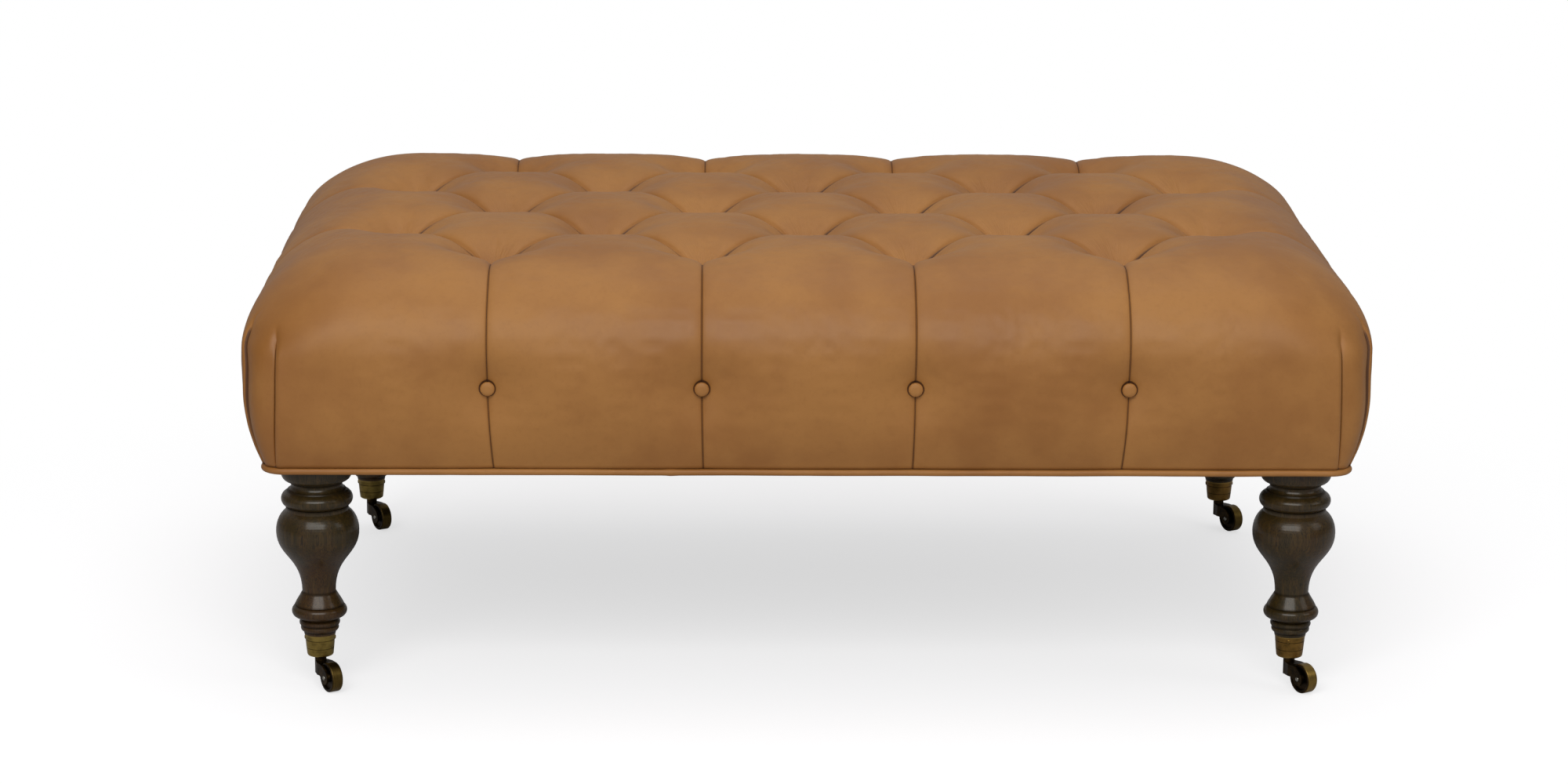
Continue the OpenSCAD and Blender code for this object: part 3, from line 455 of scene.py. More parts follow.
class Cover:
    def __init__(self):
        s = seat
        step = s["cellSteps"]
        # every cell has the same spacing, so that the seams run through its corners
        t = np.arange(step) / step
        cell = t - 0.3 * np.sin(2 * np.pi * t) / (2 * np.pi)
        self.col, self.row = (np.append(np.concatenate([n + cell for n in range(-many, many)]), many)
                              for many in (s["columns"], s["rows"]))
        self.halfX, self.halfY, self.rim = s["columns"] * step, s["rows"] * step, s["rimSteps"]
        self.ni, self.nj = self.halfX + self.rim, self.halfY + self.rim
        levels, r = section["levels"], s["cornerRadius"]
        radii = [0, 52, 84, 104, 1.75 * r, 1.6 * r, 1.28 * r, r, 43.7, 25.5]
        draws = [s["tuftDepth"], 13.5, 4.6, 4.5, 4.5, 4.5, 5, s["dentDepth"], 3.5, 1.2]
        self.radius = through(levels, radii, section["run"])
        self.draw = through(levels, draws, section["run"])
        way, close = s["cornerWay"], np.array(s["foldLines"]) / s["cornerWay"]
        low = np.linspace(0, s["foldShare"] - 9 / way, self.rim - 3 - len(close))
        high = np.linspace(s["foldShare"] + 8 / way, 1, 4)
        self.share = np.concatenate([low, s["foldShare"] + close, high])

    # How far the pleats and the side buttons draw the leather in
    def pleats(self, at, up, k):
        s = seat
        beyond = np.where(at.onEnd, at.v, at.u) > 0
        c = np.where(beyond, 1, np.abs(np.cos(np.pi / 2 * np.where(at.onEnd, at.row, at.col))))
        # broad at the field's edge, a narrow crease further down, a dimple at the buttons
        pitch = np.where(at.onEnd, rowPitch, halfPitch)
        across = np.arcsin(np.clip(c, 0, 1)) / (np.pi / 2) * pitch
        narrow = 0.55 * np.exp(-across / s["pleatFine"]) + 0.45 * np.exp(-(across / s["pleatBroad"]) ** 2)
        blend = smooth(section["run"][k] / s["pleatBlend"])
        low = k > self.rim * 0.8
        dimple = np.exp(-((up - s["buttonLevel"]) / s["dimpleHigh"]) ** 2) * low
        depth = self.draw[k] * (1 - dimple) + dimple * s["dimple"]
        near = np.sqrt(across ** 2 + (up - s["buttonLevel"]) ** 2)
        dent = s["dentDepth"] * (0.6 * np.exp(-(near / s["dentWide"]) ** 1.6) + 0.4 * np.exp(-near / 9))
        inn = depth * ((1 - blend) * dome(c, c) + blend * narrow) + np.where(low, dent, 0)
        return np.where(beyond, 0, inn), blend, beyond

    # Points of the rim and skirt at signed grid places and levels
    def outer(self, i, j, k):
        s, at = seat, Places(self, i, j)
        onEnd, out, up, normalUp = at.onEnd, section["out"][k], section["up"][k], section["normalUp"][k]
        radius = np.maximum(self.radius[k], 1e-3)
        side = at.side + out
        length = side - radius + math.pi * radius / 4
        # the share of the way at which this side's fold lies, and the grid drawn over to it
        longLean = s["foldLongLean"] * np.clip((s["foldLongFrom"] - up) / s["foldLongRun"], 0, 1)
        endLean = s["foldEndLean"] * smooth((up - s["foldEndFrom"]) / s["foldEndRun"])
        reach = np.where(onEnd, s["foldEnd"] - endLean - at.fieldY, s["foldLong"] + longLean - at.fieldX)
        bend = np.clip((reach - side + radius) / radius, 0, 0.97)
        foldWay = np.where(bend > 0, side - radius + radius * np.arcsin(bend), reach) / length
        kept = smooth((0.98 - foldWay) / 0.12)
        fold0 = s["foldShare"]
        foldWay = fold0 + (np.clip(foldWay, 0.4, 0.92) - fold0) * smooth(k / self.rim)
        share = np.where(at.share < fold0, at.share * foldWay / fold0,
                         1 - (1 - at.share) * (1 - foldWay) / (1 - fold0))
        along, inward = roundCorner(share * length, side, radius)
        inn, blend, beyond = self.pleats(at, up, k)
        # the corner's folds: a panel with a rolled edge, a slit, and the strip that swells beside it
        q = (share - foldWay) * length
        end = (1 - foldWay) * length
        top = np.where(onEnd, s["foldEndTop"], s["foldLongTop"])
        fold = smooth((top - up) / s["foldFade"]) * np.interp(up, [262, 300, 340], [0.55, 0.85, 1]) * kept
        strip = (s["foldDepth"] * (1 + np.cos(np.pi * np.clip(q / end, 0, 1))) / 2
                 + s["slit"] * np.exp(-np.maximum(q, 0) / s["slitWide"]))
        panel = (s["panelEdge"] * np.exp(np.minimum(q, 0) / s["slitWide"])
                 - s["foldRoll"] * np.exp(-((q + s["rollAt"]) / s["rollWide"]) ** 2))
        pinch = (s["pinch"] * np.exp(-((up - top + s["pinchUnder"]) / s["pinchHigh"]) ** 2)
                 * np.exp(-((q - s["pinchAt"]) / s["pinchWide"]) ** 2)
                 * kept * smooth((end - q) / 6) * np.where(onEnd, s["endPinch"], 1))
        groove = (fold * np.where(q >= -1e-6, strip, panel) + pinch * (k > self.rim)) * beyond
        drop = np.clip((s["buttonLevel"] - up) / s["hemShiftRun"], 0, 1)
        shift = 1 - s["hemShift"] / s["hemShiftAt"] * drop ** 1.5
        points = at.points(along, out - inward - (inn + groove) * section["normalOut"][k],
                           up - (inn + groove) * normalUp, shift)
        # pattern coordinates: columns and rows run on past the field by the way over the edge
        over = section["run"][k]
        patX = np.where(onEnd, s["columns"] + over / halfPitch, at.col + share * (at.u > 0))
        patY = np.where(onEnd, at.row + share * (at.v > 0), s["rows"] + over / rowPitch)
        # painted shade: dark in the corner fold's slit, in a band just above the hem, and deepening into
        # the pleats and the seams' valleys
        wedge = 2.2 + 2.6 * np.exp(-((up - top + 9) / 10) ** 2)
        slit = fold * np.where(q < -0.3, np.exp((q + 0.3) / 0.5), np.exp(-(q + 0.3) / wedge)) * beyond
        hem = smooth((s["hem"] + 4.5 - up) / 4) * s["hemShade"]
        shadeMask = (np.clip(inn / s["tuftDepth"], 0, 1) ** s["seamShadePower"] * (1 - blend)
                  + np.clip(inn / s["pleatFull"], 0, 1) * s["pleatShade"] * blend
                  + np.clip(slit, 0, 1) + hem)
        return points, np.stack([at.signs[0] * patX, at.signs[1] * patY], -1), shadeMask

    # A plain rounded outline at a distance out from the frame, with the ring's own spacing
    def inner(self, out, height, radius):
        at = Places(self, self.ring[:, 0], self.ring[:, 1])
        side = at.side + out
        along, inward = roundCorner(at.share * (side - radius + math.pi * radius / 4), side, radius)
        return at.points(along, out - inward, np.full(len(along), height))

    # The field between the outer tufts, with its rim
    def field(self):
        s, ni, nj = seat, self.ni, self.nj
        i, j = np.meshgrid(np.arange(-ni, ni + 1), np.arange(-nj, nj + 1), indexing="ij")
        k = np.maximum(np.maximum(np.abs(i) - self.halfX, np.abs(j) - self.halfY), 0)
        points, pattern, shadeMask = self.outer(i, j, k)
        inside = k == 0
        col = self.col[np.clip(i + self.halfX, 0, 2 * self.halfX)]
        row = self.row[np.clip(j + self.halfY, 0, 2 * self.halfY)]
        deep = fieldDepth(col, row)
        points[inside] = np.stack([col * halfPitch, row * rowPitch, s["crest"] - deep], -1)[inside]
        pattern[inside] = np.stack([col, row], -1)[inside]
        # painted shade, darker the deeper the skin lies in the seams' valleys
        shadeMask[inside] = np.clip((deep / s["tuftDepth"]) ** s["seamShadePower"], 0, 1)[inside]
        self.index = (i + ni) * (2 * nj + 1) + j + nj
        # squares are halved along the seams, which join tufts cell by cell
        a, b, c, d = quads(self.index)
        cellX, cellY = (np.floor((way[:-1, :-1] + 0.5) / s["cellSteps"]) for way in (i, j))
        upward = ((cellX + cellY) % 2 != 0)[..., None]
        first = np.where(upward, np.stack([a, b, c], -1), np.stack([a, b, d], -1))
        second = np.where(upward, np.stack([a, c, d], -1), np.stack([b, c, d], -1))
        faces = np.concatenate([first.reshape(-1, 3), second.reshape(-1, 3)]).tolist()
        return [points.reshape(-1, 3)], [pattern.reshape(-1, 2)], [shadeMask.reshape(-1)], faces

    def build(self):
        s, ni, nj = seat, self.ni, self.nj
        rows, patterns, shadeMasks, faces = self.field()
        # the border, counted anticlockwise
        self.ring = np.array(
            [(p, -nj) for p in range(-ni, ni)] + [(ni, p) for p in range(-nj, nj)]
            + [(p, nj) for p in range(ni, -ni, -1)] + [(-ni, p) for p in range(nj, -nj, -1)])
        n = len(self.ring)
        self.border = self.index[self.ring[:, 0] + ni, self.ring[:, 1] + nj]
        rings = [self.border]

        def add(points, pattern, shadeMask):
            rows.append(points)
            patterns.append(pattern)
            shadeMasks.append(shadeMask)
            last, now = rings[-1], self.index.size + (len(rings) - 1) * n + np.arange(n)
            faces.extend(np.stack([last, now, np.roll(now, -1), np.roll(last, -1)], -1).tolist())
            rings.append(now)

        for level in range(self.rim + 1, self.rim + s["skirtSteps"] + 1):
            add(*self.outer(self.ring[:, 0], self.ring[:, 1], np.full(n, level)))
        self.shown = self.index.size + (len(rings) - 1) * n
        # under the hem the leather turns in and up, against the frame and the foam
        lining, bend = s["lining"], s["frameBend"]
        deck, foam, onFoam = s["deckTop"] + lining, s["foamTop"] + lining, lining - s["foamInset"]
        turns = ((s["hemOut"] / 2, s["hem"] - 0.2, s["hemBend"]), (lining, s["hem"], bend),
                 (lining, deck, bend), (onFoam, deck, bend), (onFoam, foam, bend))
        # the turned-in leather is painted in full shade
        for out, height, radius in turns:
            add(self.inner(out, height, radius), patterns[-1], np.ones(n))
        faces.append(rings[-1][::-1].tolist())
        return np.concatenate(rows), faces, np.concatenate(patterns), np.concatenate(shadeMasks)

    # Point numbers along every seam: the diagonals between tufts, and the pleats down the sides
    def seams(self):
        s, step = seat, seat["cellSteps"]
        paths = []
        n = np.arange(step + 1)
        for c in range(-s["columns"], s["columns"]):
            for r in range(-s["rows"], s["rows"]):
                across = n if (c + r) % 2 else step - n
                paths.append(self.index[c * step + n + self.ni, r * step + across + self.nj])
        spot = {(int(p), int(q)): m for m, (p, q) in enumerate(self.ring)}
        skirt = self.index.size + np.arange(s["skirtSteps"]) * len(self.ring)
        for sign in (-1, 1):
            down = np.arange(self.halfY, self.nj + 1) * sign
            for c in pleatsX:
                over = self.index[c * step + self.ni, down + self.nj]
                paths.append(np.concatenate([over, skirt + spot[c * step, self.nj * sign]]))
            down = np.arange(self.halfX, self.ni + 1) * sign
            for r in pleatsY:
                over = self.index[down + self.ni, r * step + self.nj]
                paths.append(np.concatenate([over, skirt + spot[self.ni * sign, r * step]]))
        return paths


# Leather
leatherLook = {
    "colour": "#a76e2c", "pale": "#b47e40", "deep": "#8c561f", "crease": "#3e1d08",
    "roughness": 0.55, "grain": 900, "grainDepth": 0.00010, "far": 99,
    "buttonRun": float(np.interp(-seat["buttonLevel"], -section["up"], section["run"])),
}


def makeLeather(name, seams):
    look, recipe = leatherLook, Recipe(name)
    cloud, mottle = recipe.noise(4.5, 4.0, 0.5), recipe.noise(19.0, 4.0, 0.55)
    speck = recipe.noise(160.0, 3.0)
    colour = recipe.mix((cloud * 0.65 + mottle * 0.35).rise(0.36, 0.64), look["deep"], look["pale"])
    colour = recipe.layers(colour, (0.52, look["colour"]), (speck.rise(0.45, 0.75) * 0.14, look["deep"]))
    grain = recipe.cells(look["grain"], feature="DISTANCE_TO_EDGE")
    normal = recipe.bump(grain.rise(0.0, 0.25) * 0.55 + speck * 0.45, look["grainDepth"], 0.45)
    normal = recipe.bump(mottle * 0.6 + cloud, 0.0016, 0.35, normal)
    if seams:
        colour, normal = seamShade(recipe, colour, normal)
    return recipe.finish(colour=colour, normal=normal, specular=0.6, sheen=0.015, sheenRoughness=0.45,
                         roughness=look["roughness"] + (mottle - 0.5) * 0.2 + (cloud - 0.5) * 0.2)


# The way to the nearest of the pleats or seams that lie two steps apart, in steps of the grid
def toNearest(way):
    return abs(way - way.rounded()) * 2


# Painted shade in the seams, pleats and folds, and a painted shadow round the side buttons, with wrinkles
# that run out from the tufts
def seamShade(recipe, colour, normal):
    look, far = leatherLook, leatherLook["far"]
    # painted shade, not wear: the mask deepens into the seams' valleys, the pleats, the corner fold's slit
    # and above the hem
    worn = recipe.node("ShaderNodeAttribute", out="Fac", attribute_name="shadeMask")
    col, row, _ = recipe.node("ShaderNodeUVMap", uv_map="pattern").axes()
    outX, outY = abs(col), abs(row)
    rows, columns = seat["rows"], seat["columns"]
    inField = (1 - outY.rise(rows, rows + 0.002)) * (1 - outX.rise(columns, columns + 0.002))
    # how far across the two ways of diagonals, in mm
    slant = 1 / math.hypot(1 / halfPitch, 1 / rowPitch)
    first, second = (col + row - 1) * 0.5, (col - row - 1) * 0.5
    leaning, rising = (toNearest(way) * slant + (1 - inField) * far for way in (first, second))
    # pleats over the front and back, and over the ends
    onLong = outY.rise(rows - 0.002, rows) * (1 - outX.rise(columns - 0.02, columns))
    onEnd = outX.rise(columns - 0.002, columns) * (1 - outY.rise(rows - 0.02, rows))
    toCol = toNearest(col * 0.5 - 0.5) * halfPitch
    toRow = toNearest(row * 0.5 - 0.5) * rowPitch
    pleat = (toCol + (1 - onLong) * far).least(toRow + (1 - onEnd) * far)
    line = leaning.least(rising).least(pleat)
    # a painted shadow ring where the leather closes on a side button
    nearest = toCol * onLong + toRow * onEnd + (1 - onLong.most(onEnd)) * far
    fromButton = ((outY - rows) * rowPitch * onLong + (outX - columns) * halfPitch * onEnd
                  - look["buttonRun"] - 1.0)
    ring = (nearest * nearest + fromButton * fromButton).root()
    # painted shade: darker in the valleys, a soft band and a thin dark line along every seam and pleat, the
    # foot of the far dome at each seam, and the painted shadow ring
    colour = recipe.layers(
        colour,
        (worn.rise(0.1, 1.0) * 0.35, look["deep"]),
        (worn.rise(0.55, 0.95) * 0.8, look["crease"]),
        ((1 - line.rise(0.0, 5.0)) * 0.2, look["deep"]),
        ((1 - line.rise(0.1, 0.9)) * 0.8, look["crease"]),
        ((1 - leaning.rise(1.0, 2.3)) * 0.8, look["crease"]),
        ((1 - rising.rise(1.6, 2.9)) * 0.9, look["crease"]),
        ((1 - ring.rise(8.9, 9.9)) * 0.85, look["crease"]))
    normal = recipe.bump(line.rise(0.0, 1.8), 0.0014, 0.85, normal)
    first, second = first - first.rounded(), second - second.rounded()
    dx, dy = (first + second) * halfPitch, (first - second) * rowPitch
    away = (dx * dx + dy * dy).root()
    number = ((col + row) * 0.5).rounded() * 3.7 + ((col - row) * 0.5).rounded() * 1.9
    spread = recipe.node("ShaderNodeCombineXYZ", {0: dy.angle(dx) * 5.2, 1: away * 0.01, 2: number})
    rays = recipe.noise(1.8, 3.0, 0.55, at=spread)
    few = recipe.node("ShaderNodeTexWhiteNoise", {"W": number}, "Value", noise_dimensions="1D")
    near = (1 - away.rise(14.0, 84.0)) * away.rise(2.0, 12.0) * inField * (few * 0.8 + 0.2)
    return colour, recipe.bump(rays.rise(0.3, 0.75) * near, 0.003, 0.28, normal)


leather = makeLeather("tanLeather", False)
seamedLeather = makeLeather("tanLeatherSeamed", True)

# The leather settling over its foam, as a cloth simulation
drape = {
    "frames": 20, "pressure": 4.0, "mass": 0.003, "tightness": 12.0, "bending": 0.25, "quality": 6,
    "slackFrom": 0.0, "slackTo": -0.08, "slackWide": 26, "sewnTo": 3.5, "freeAt": 18.0, "cap": 7.0,
    "cornerFrom": 10, "cornerReach": 62, "hemHeld": 288, "hemFade": 40, "foldFade": 0.45, "least": 0.02,
}


# Values with one more between each two, on a smooth curve through their neighbours
def doubled(values, axis, closed=False):
    v = np.moveaxis(values, axis, 0)
    if closed:
        before, here, ahead, beyond = np.roll(v, 1, 0), v, np.roll(v, -1, 0), np.roll(v, -2, 0)
    else:
        ends = np.concatenate([v[:1], v, v[-1:]])
        before, here, ahead, beyond = ends[:-3], v[:-1], v[1:], ends[3:]
    made = np.empty((len(v) + len(here),) + v.shape[1:])
    made[::2], made[1::2] = v, (9 * (here + ahead) - before - beyond) / 16
    return np.moveaxis(made, 0, axis)


# Distance in mm from the nearest seam or pleat
def fromSeam(pattern):
    def nearest(way):
        return np.abs(way - np.round(way)) * 2

    col, row = pattern[..., 0], pattern[..., 1]
    slant = 1 / math.hypot(1 / halfPitch, 1 / rowPitch)
    diagonal = np.minimum(nearest((col + row - 1) / 2), nearest((col - row - 1) / 2)) * slant
    toCol, toRow = nearest((col - 1) / 2) * halfPitch, nearest((row - 1) / 2) * rowPitch
    beyondX, beyondY = np.abs(col) > seat["columns"] + 0.001, np.abs(row) > seat["rows"] + 0.001
    return np.select([beyondX & beyondY, beyondY, beyondX], [99, toCol, toRow], diagonal)


# How free each point is to move, and which ones are sewn
def freedom(start, pattern, seam):
    s, d = seat, drape
    corner = np.linalg.norm(np.clip((halfL, halfD) - np.abs(start[:, :2]), 0, None), axis=1)
    low = smooth((s["skirtTop"] + 10 - start[:, 2]) / 30)
    beyond = np.abs(pattern) - (s["columns"], s["rows"])
    free = (smooth((seam - d["sewnTo"]) / d["freeAt"]) * smooth((start[:, 2] - d["hemHeld"]) / d["hemFade"])
            * (1 - low * (1 - smooth((corner - d["cornerFrom"]) / d["cornerReach"])))
            * (1 - smooth(beyond.min(1) / d["foldFade"])))
    return free, (seam < d["sewnTo"]) | (start[:, 2] < d["hemHeld"]) | (free < d["least"])


# The simulation itself, on points and faces; gives how far each point moved
def runCloth(start, faces, sewn, slack):
    d, scene = drape, bpy.context.scene
    cloth = meshObject("clothStart", start, faces.tolist(), seamedLeather)
    cloth.vertex_groups.new(name="sewn").add(np.flatnonzero(sewn).tolist(), 1.0, "REPLACE")
    loose = cloth.vertex_groups.new(name="loose")
    for level in range(1, 11):
        loose.add(np.flatnonzero(np.round(slack * 10) == level).tolist(), level / 10, "REPLACE")
    sim = cloth.modifiers.new("leather", "CLOTH")
    choices = {
        "quality": d["quality"], "mass": d["mass"], "bending_stiffness": d["bending"],
        "tension_stiffness": d["tightness"], "compression_stiffness": d["tightness"],
        "shear_stiffness": d["tightness"] / 3,
        "use_pressure": True, "uniform_pressure_force": d["pressure"],
        "vertex_group_mass": "sewn", "vertex_group_shrink": "loose",
        "shrink_min": d["slackFrom"], "shrink_max": d["slackTo"],
    }
    for key, value in choices.items():
        setattr(sim.settings, key, value)
    sim.settings.effector_weights.gravity = 0
    sim.collision_settings.use_collision = False
    sim.point_cache.frame_start, sim.point_cache.frame_end = 1, d["frames"]
    for moment in range(1, d["frames"] + 1):
        scene.frame_set(moment)
    shape = cloth.evaluated_get(bpy.context.evaluated_depsgraph_get()).to_mesh()
    ended = np.empty(start.size)
    shape.vertices.foreach_get("co", ended)
    bpy.data.objects.remove(cloth)
    scene.frame_set(1)
    return ended.reshape(-1, 3) / mm - start


# Runs on every second line of the grid, and carries the moves over to the lines between
def settle(cover, points, pattern):
    d, n = drape, len(cover.border)
    skirt = cover.index.size + np.arange(seat["skirtSteps"]) * n
    grid = cover.index[::2, ::2]
    rings = np.stack([cover.border[::2]] + [start + np.arange(0, n, 2) for start in skirt[1::2]])
    faces = [np.stack(quads(grid), -1).reshape(-1, 4)]
    for upper, lower in zip(rings[:-1], rings[1:]):
        faces.append(np.stack([upper, lower, np.roll(lower, -1), np.roll(upper, -1)], -1))
    used, faces = np.unique(np.concatenate(faces), return_inverse=True)
    seam = fromSeam(pattern[used])
    free, sewn = freedom(points[used], pattern[used], seam)
    moved = runCloth(points[used], faces.reshape(-1, 4), sewn, np.exp(-(seam / d["slackWide"]) ** 2))
    size = np.linalg.norm(moved, axis=1)
    print("cloth moved by", [round(float(v), 2) for v in np.percentile(size, (50, 75, 90, 99, 100))])
    moved *= (free * d["cap"] * np.tanh(size / d["cap"]) / np.maximum(size, 1e-9))[:, None]
    coarse, full = np.zeros_like(points), np.zeros_like(points)
    coarse[used] = moved
    full[cover.index] = doubled(doubled(coarse[grid], 0), 1)
    full[skirt[:, None] + np.arange(n)] = doubled(doubled(coarse[rings], 0), 1, closed=True)[1:]
    return points + full


def makeCover():
    cover = Cover()
    points, faces, pattern, shadeMask = cover.build()
    points = settle(cover, points, pattern)
    top = points[:cover.shown]
    sway = sum(ripple(top, size, seat["seed"] + n) * high for n, (size, high) in enumerate(seat["sway"]))
    hold = np.clip((top[:, 2] - seat["swayFrom"]) / seat["swayRun"], 0, 1)
    away = (top - (0, 0, seat["swayMiddle"])) * (0.5, 1, 1)
    away /= np.linalg.norm(away, axis=1)[:, None]
    points[:cover.shown] = top + away * (sway * hold)[:, None]
    piece = meshObject("tuftedLeather", points, faces, seamedLeather)
    mesh = piece.data
    corner = np.empty(len(mesh.loops), np.int64)
    mesh.loops.foreach_get("vertex_index", corner)
    layer = mesh.uv_layers.new(name="pattern")
    layer.data.foreach_set("uv", pattern[corner].astype(np.float32).ravel())
    # the painted shade mask, by which the seamed leather is darkened
    mark = mesh.attributes.new("shadeMask", "FLOAT", "POINT")
    mark.data.foreach_set("value", np.clip(shadeMask, 0, 1).astype(np.float32))
    finishPiece(piece, ["tufted_cover"])
    print("cover", len(mesh.vertices), "points")
    return piece, cover, points


coverPiece, coverForm, coverPoints = makeCover()


# What repeats is set out by Geometry Nodes
# A shape set on points: its Z axis along "aim", its X axis along "run", with random turn and size
def placingTree():
    tree = bpy.data.node_groups.new("placedShapes", "GeometryNodeTree")
    tree.interface.new_socket("Geometry", in_out="OUTPUT", socket_type="NodeSocketGeometry")
    given = {"Geometry": "Geometry", "Shape": "Object", "Material": "Material", "Size Spread": "Float",
             "Turn Spread": "Float", "Seed": "Int"}
    keys = {}
    for label, kind in given.items():
        socket = tree.interface.new_socket(label, in_out="INPUT", socket_type="NodeSocket" + kind)
        keys[label] = socket.identifier
    plan = Graph(tree)
    entry = tree.nodes.new("NodeGroupInput")
    geometry, shape, material, sizeSpread, turnSpread, seed = (
        Wire(plan, entry.outputs[label]) for label in given)
    aim, run = (plan.node("GeometryNodeInputNamedAttribute", {"Name": name}, data_type="FLOAT_VECTOR")
                for name in ("aim", "run"))
    turn, size = (plan.node("FunctionNodeRandomValue", {2: least, 3: most, "Seed": seed}, 1)
                  for least, most in ((turnSpread * -1.0, turnSpread), (1 - sizeSpread, 1 + sizeSpread)))
    first = plan.node("FunctionNodeAlignRotationToVector", {"Vector": run}, axis="X")
    second = plan.node("FunctionNodeAlignRotationToVector", {"Rotation": first, "Vector": aim},
                       axis="Z", pivot_axis="X")
    spin = plan.node("FunctionNodeAxisAngleToRotation", {"Axis": (0, 0, 1), "Angle": turn})
    both = plan.node("FunctionNodeRotateRotation", {0: second, 1: spin}, rotation_space="LOCAL")
    instance = plan.node("GeometryNodeObjectInfo", {"Object": shape}, "Geometry")
    spread = plan.node("GeometryNodeInstanceOnPoints", {"Points": geometry, "Instance": instance,
                                                        "Rotation": both, "Scale": size})
    real = plan.node("GeometryNodeRealizeInstances", {0: spread})
    plan.node("NodeGroupOutput", {0: plan.node("GeometryNodeSetMaterial", {0: real, "Material": material})})
    return tree, keys


placing, placingKeys = placingTree()


# Points with their aims and runs, in mm, become one plain mesh of placed shapes
def place(name, points, aims, runs, shape, material, seed, turn, size=0.0):
    holder = meshObject(name + "Points", points, [], material)
    for label, values in (("aim", aims), ("run", runs)):
        mark = holder.data.attributes.new(label, "FLOAT_VECTOR", "POINT")
        mark.data.foreach_set("vector", np.asarray(values, np.float32).ravel())
    modifier = holder.modifiers.new("placed", "NODES")
    modifier.node_group = placing
    choices = {"Shape": shape, "Material": material, "Seed": seed, "Turn Spread": turn,
               "Size Spread": size}
    for label, value in choices.items():
        modifier[placingKeys[label]] = value
    graph = bpy.context.evaluated_depsgraph_get()
    result = bpy.data.meshes.new_from_object(holder.evaluated_get(graph), depsgraph=graph)
    result.name = name
    for spent in (holder, shape):
        bpy.data.objects.remove(spent)
    result.materials.clear()
    result.materials.append(material)
    made = bpy.data.objects.new(name, result)
    bpy.context.collection.objects.link(made)
    return made


# Covered buttons
button = {"width": 15.8, "middle": 4.2, "sunk": 1.0, "gathers": 11, "gatherDepth": 0.012, "count": 44,
          # shares of the half width, and heights
          "profile": ((0, 0), (0.62, 0), (0.86, 0.25), (0.97, 0.8), (1, 1.5), (0.985, 2.2), (0.93, 2.9),
                      (0.83, 3.5), (0.68, 4.0), (0.5, 4.3), (0.28, 4.52))}


def buttonShape():
    half = button["width"] / 2

    def gathered(r, z, a):
        edge = max(0, 1 - abs(z - 1.2) / 1.6) if r > half * 0.6 else 0
        wave = math.sin(button["gathers"] * a + math.sin(3 * a))
        return r * (1 + button["gatherDepth"] * edge * wave), z

    profile = [(share * half, z) for share, z in button["profile"]] + [(0, button["middle"])]
    return turned("buttonShape", profile, button["count"], leather, gathered)


def buttonRow(side, points, aim):
    points = [tuple(c - button["sunk"] * d for c, d in zip(p, aim)) for p in points]
    run = (1, 0, 0) if aim[2] else (0, 0, 1)
    made = place(side + "Buttons", points, [aim] * len(points), [run] * len(points), buttonShape(),
                 leather, len(points), 3.1)
    finishPiece(made, [side + "_buttons"])


def makeButtons():
    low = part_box("top_buttons")[0][2] / mm + 0.1
    buttonRow("top", [(x, y, low) for x, y in tufts], (0, 0, 1))
    level = seat["buttonLevel"]
    for side, way in (("front", -1), ("rear", 1)):
        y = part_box(side + "_buttons")[way < 0][1] / mm
        buttonRow(side, [(c * halfPitch, y, level) for c in pleatsX], (0, way, 0))
    for side, way in (("left", -1), ("right", 1)):
        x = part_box(side + "_buttons")[way < 0][0] / mm
        buttonRow(side, [(x, r * rowPitch, level) for r in pleatsY], (way, 0, 0))
    print("buttons")


makeButtons()

# Welt
welt = {"width": 7.4, "out": 4.05, "bend": 24.05, "step": 5, "sides": 18, "wave": 0.35, "fine": 0.1,
        "flat": 0.9, "low": 0.1, "jointAt": -152, "jointRise": 0.55}


# A rounded rectangle in steps, anticlockwise from the front left, with the ways out from it
def outline(halfX, halfY, bend, step):
    points, aims = [], []
    quarter = math.pi * bend / 2
    inX, inY = halfX - bend, halfY - bend
    corners = [(inX, -inY), (inX, inY), (-inX, inY), (-inX, -inY)]
    for n, (cx, cy) in enumerate(corners):
        px, py = corners[n - 1]
        out = ((0, -1), (1, 0), (0, 1), (-1, 0))[n]
        count = round(math.hypot(cx - px, cy - py) / step)
        for t in np.arange(count) / count:
            points.append((px + (cx - px) * t + out[0] * bend, py + (cy - py) * t + out[1] * bend))
            aims.append(out)
        count = max(6, round(quarter / step) * 2)
        for t in range(count):
            a = math.radians(90 * (n - 1) + 90 * t / count)
            points.append((cx + bend * math.cos(a), cy + bend * math.sin(a)))
            aims.append((math.cos(a), math.sin(a)))
    return points, aims


def makeWelt():
    w = welt
    path, aims = outline(halfL + w["out"], halfD + w["out"], w["bend"], w["step"])
    sway = ripple(np.array([(x, y, 0) for x, y in path]), 60, 31)
    fine = ripple(np.array([(x, y, 50) for x, y in path]), 16, 32)
    rings = []
    for k, ((x, y), (ax, ay)) in enumerate(zip(path, aims)):
        r = w["width"] / 2 + w["fine"] * fine[k]
        if y < 0 and abs(x - w["jointAt"]) < 14:
            r += w["jointRise"] * math.exp(-((x - w["jointAt"] - 3) / 5) ** 2)
        height = seat["frameBottom"] - w["low"] + w["wave"] * sway[k]
        ring = []
        for m in range(w["sides"]):
            a = -2 * math.pi * m / w["sides"]
            # a flattened back against the frame, where the flange is tacked
            out = max(r * math.cos(a), -r * w["flat"])
            ring.append((x + ax * out, y + ay * out, height + r * math.sin(a)))
        rings.append(ring)
    finishPiece(skin("weltCord", rings, leather, closed=True), ["welt_cord"])
    print("welt")


makeWelt()


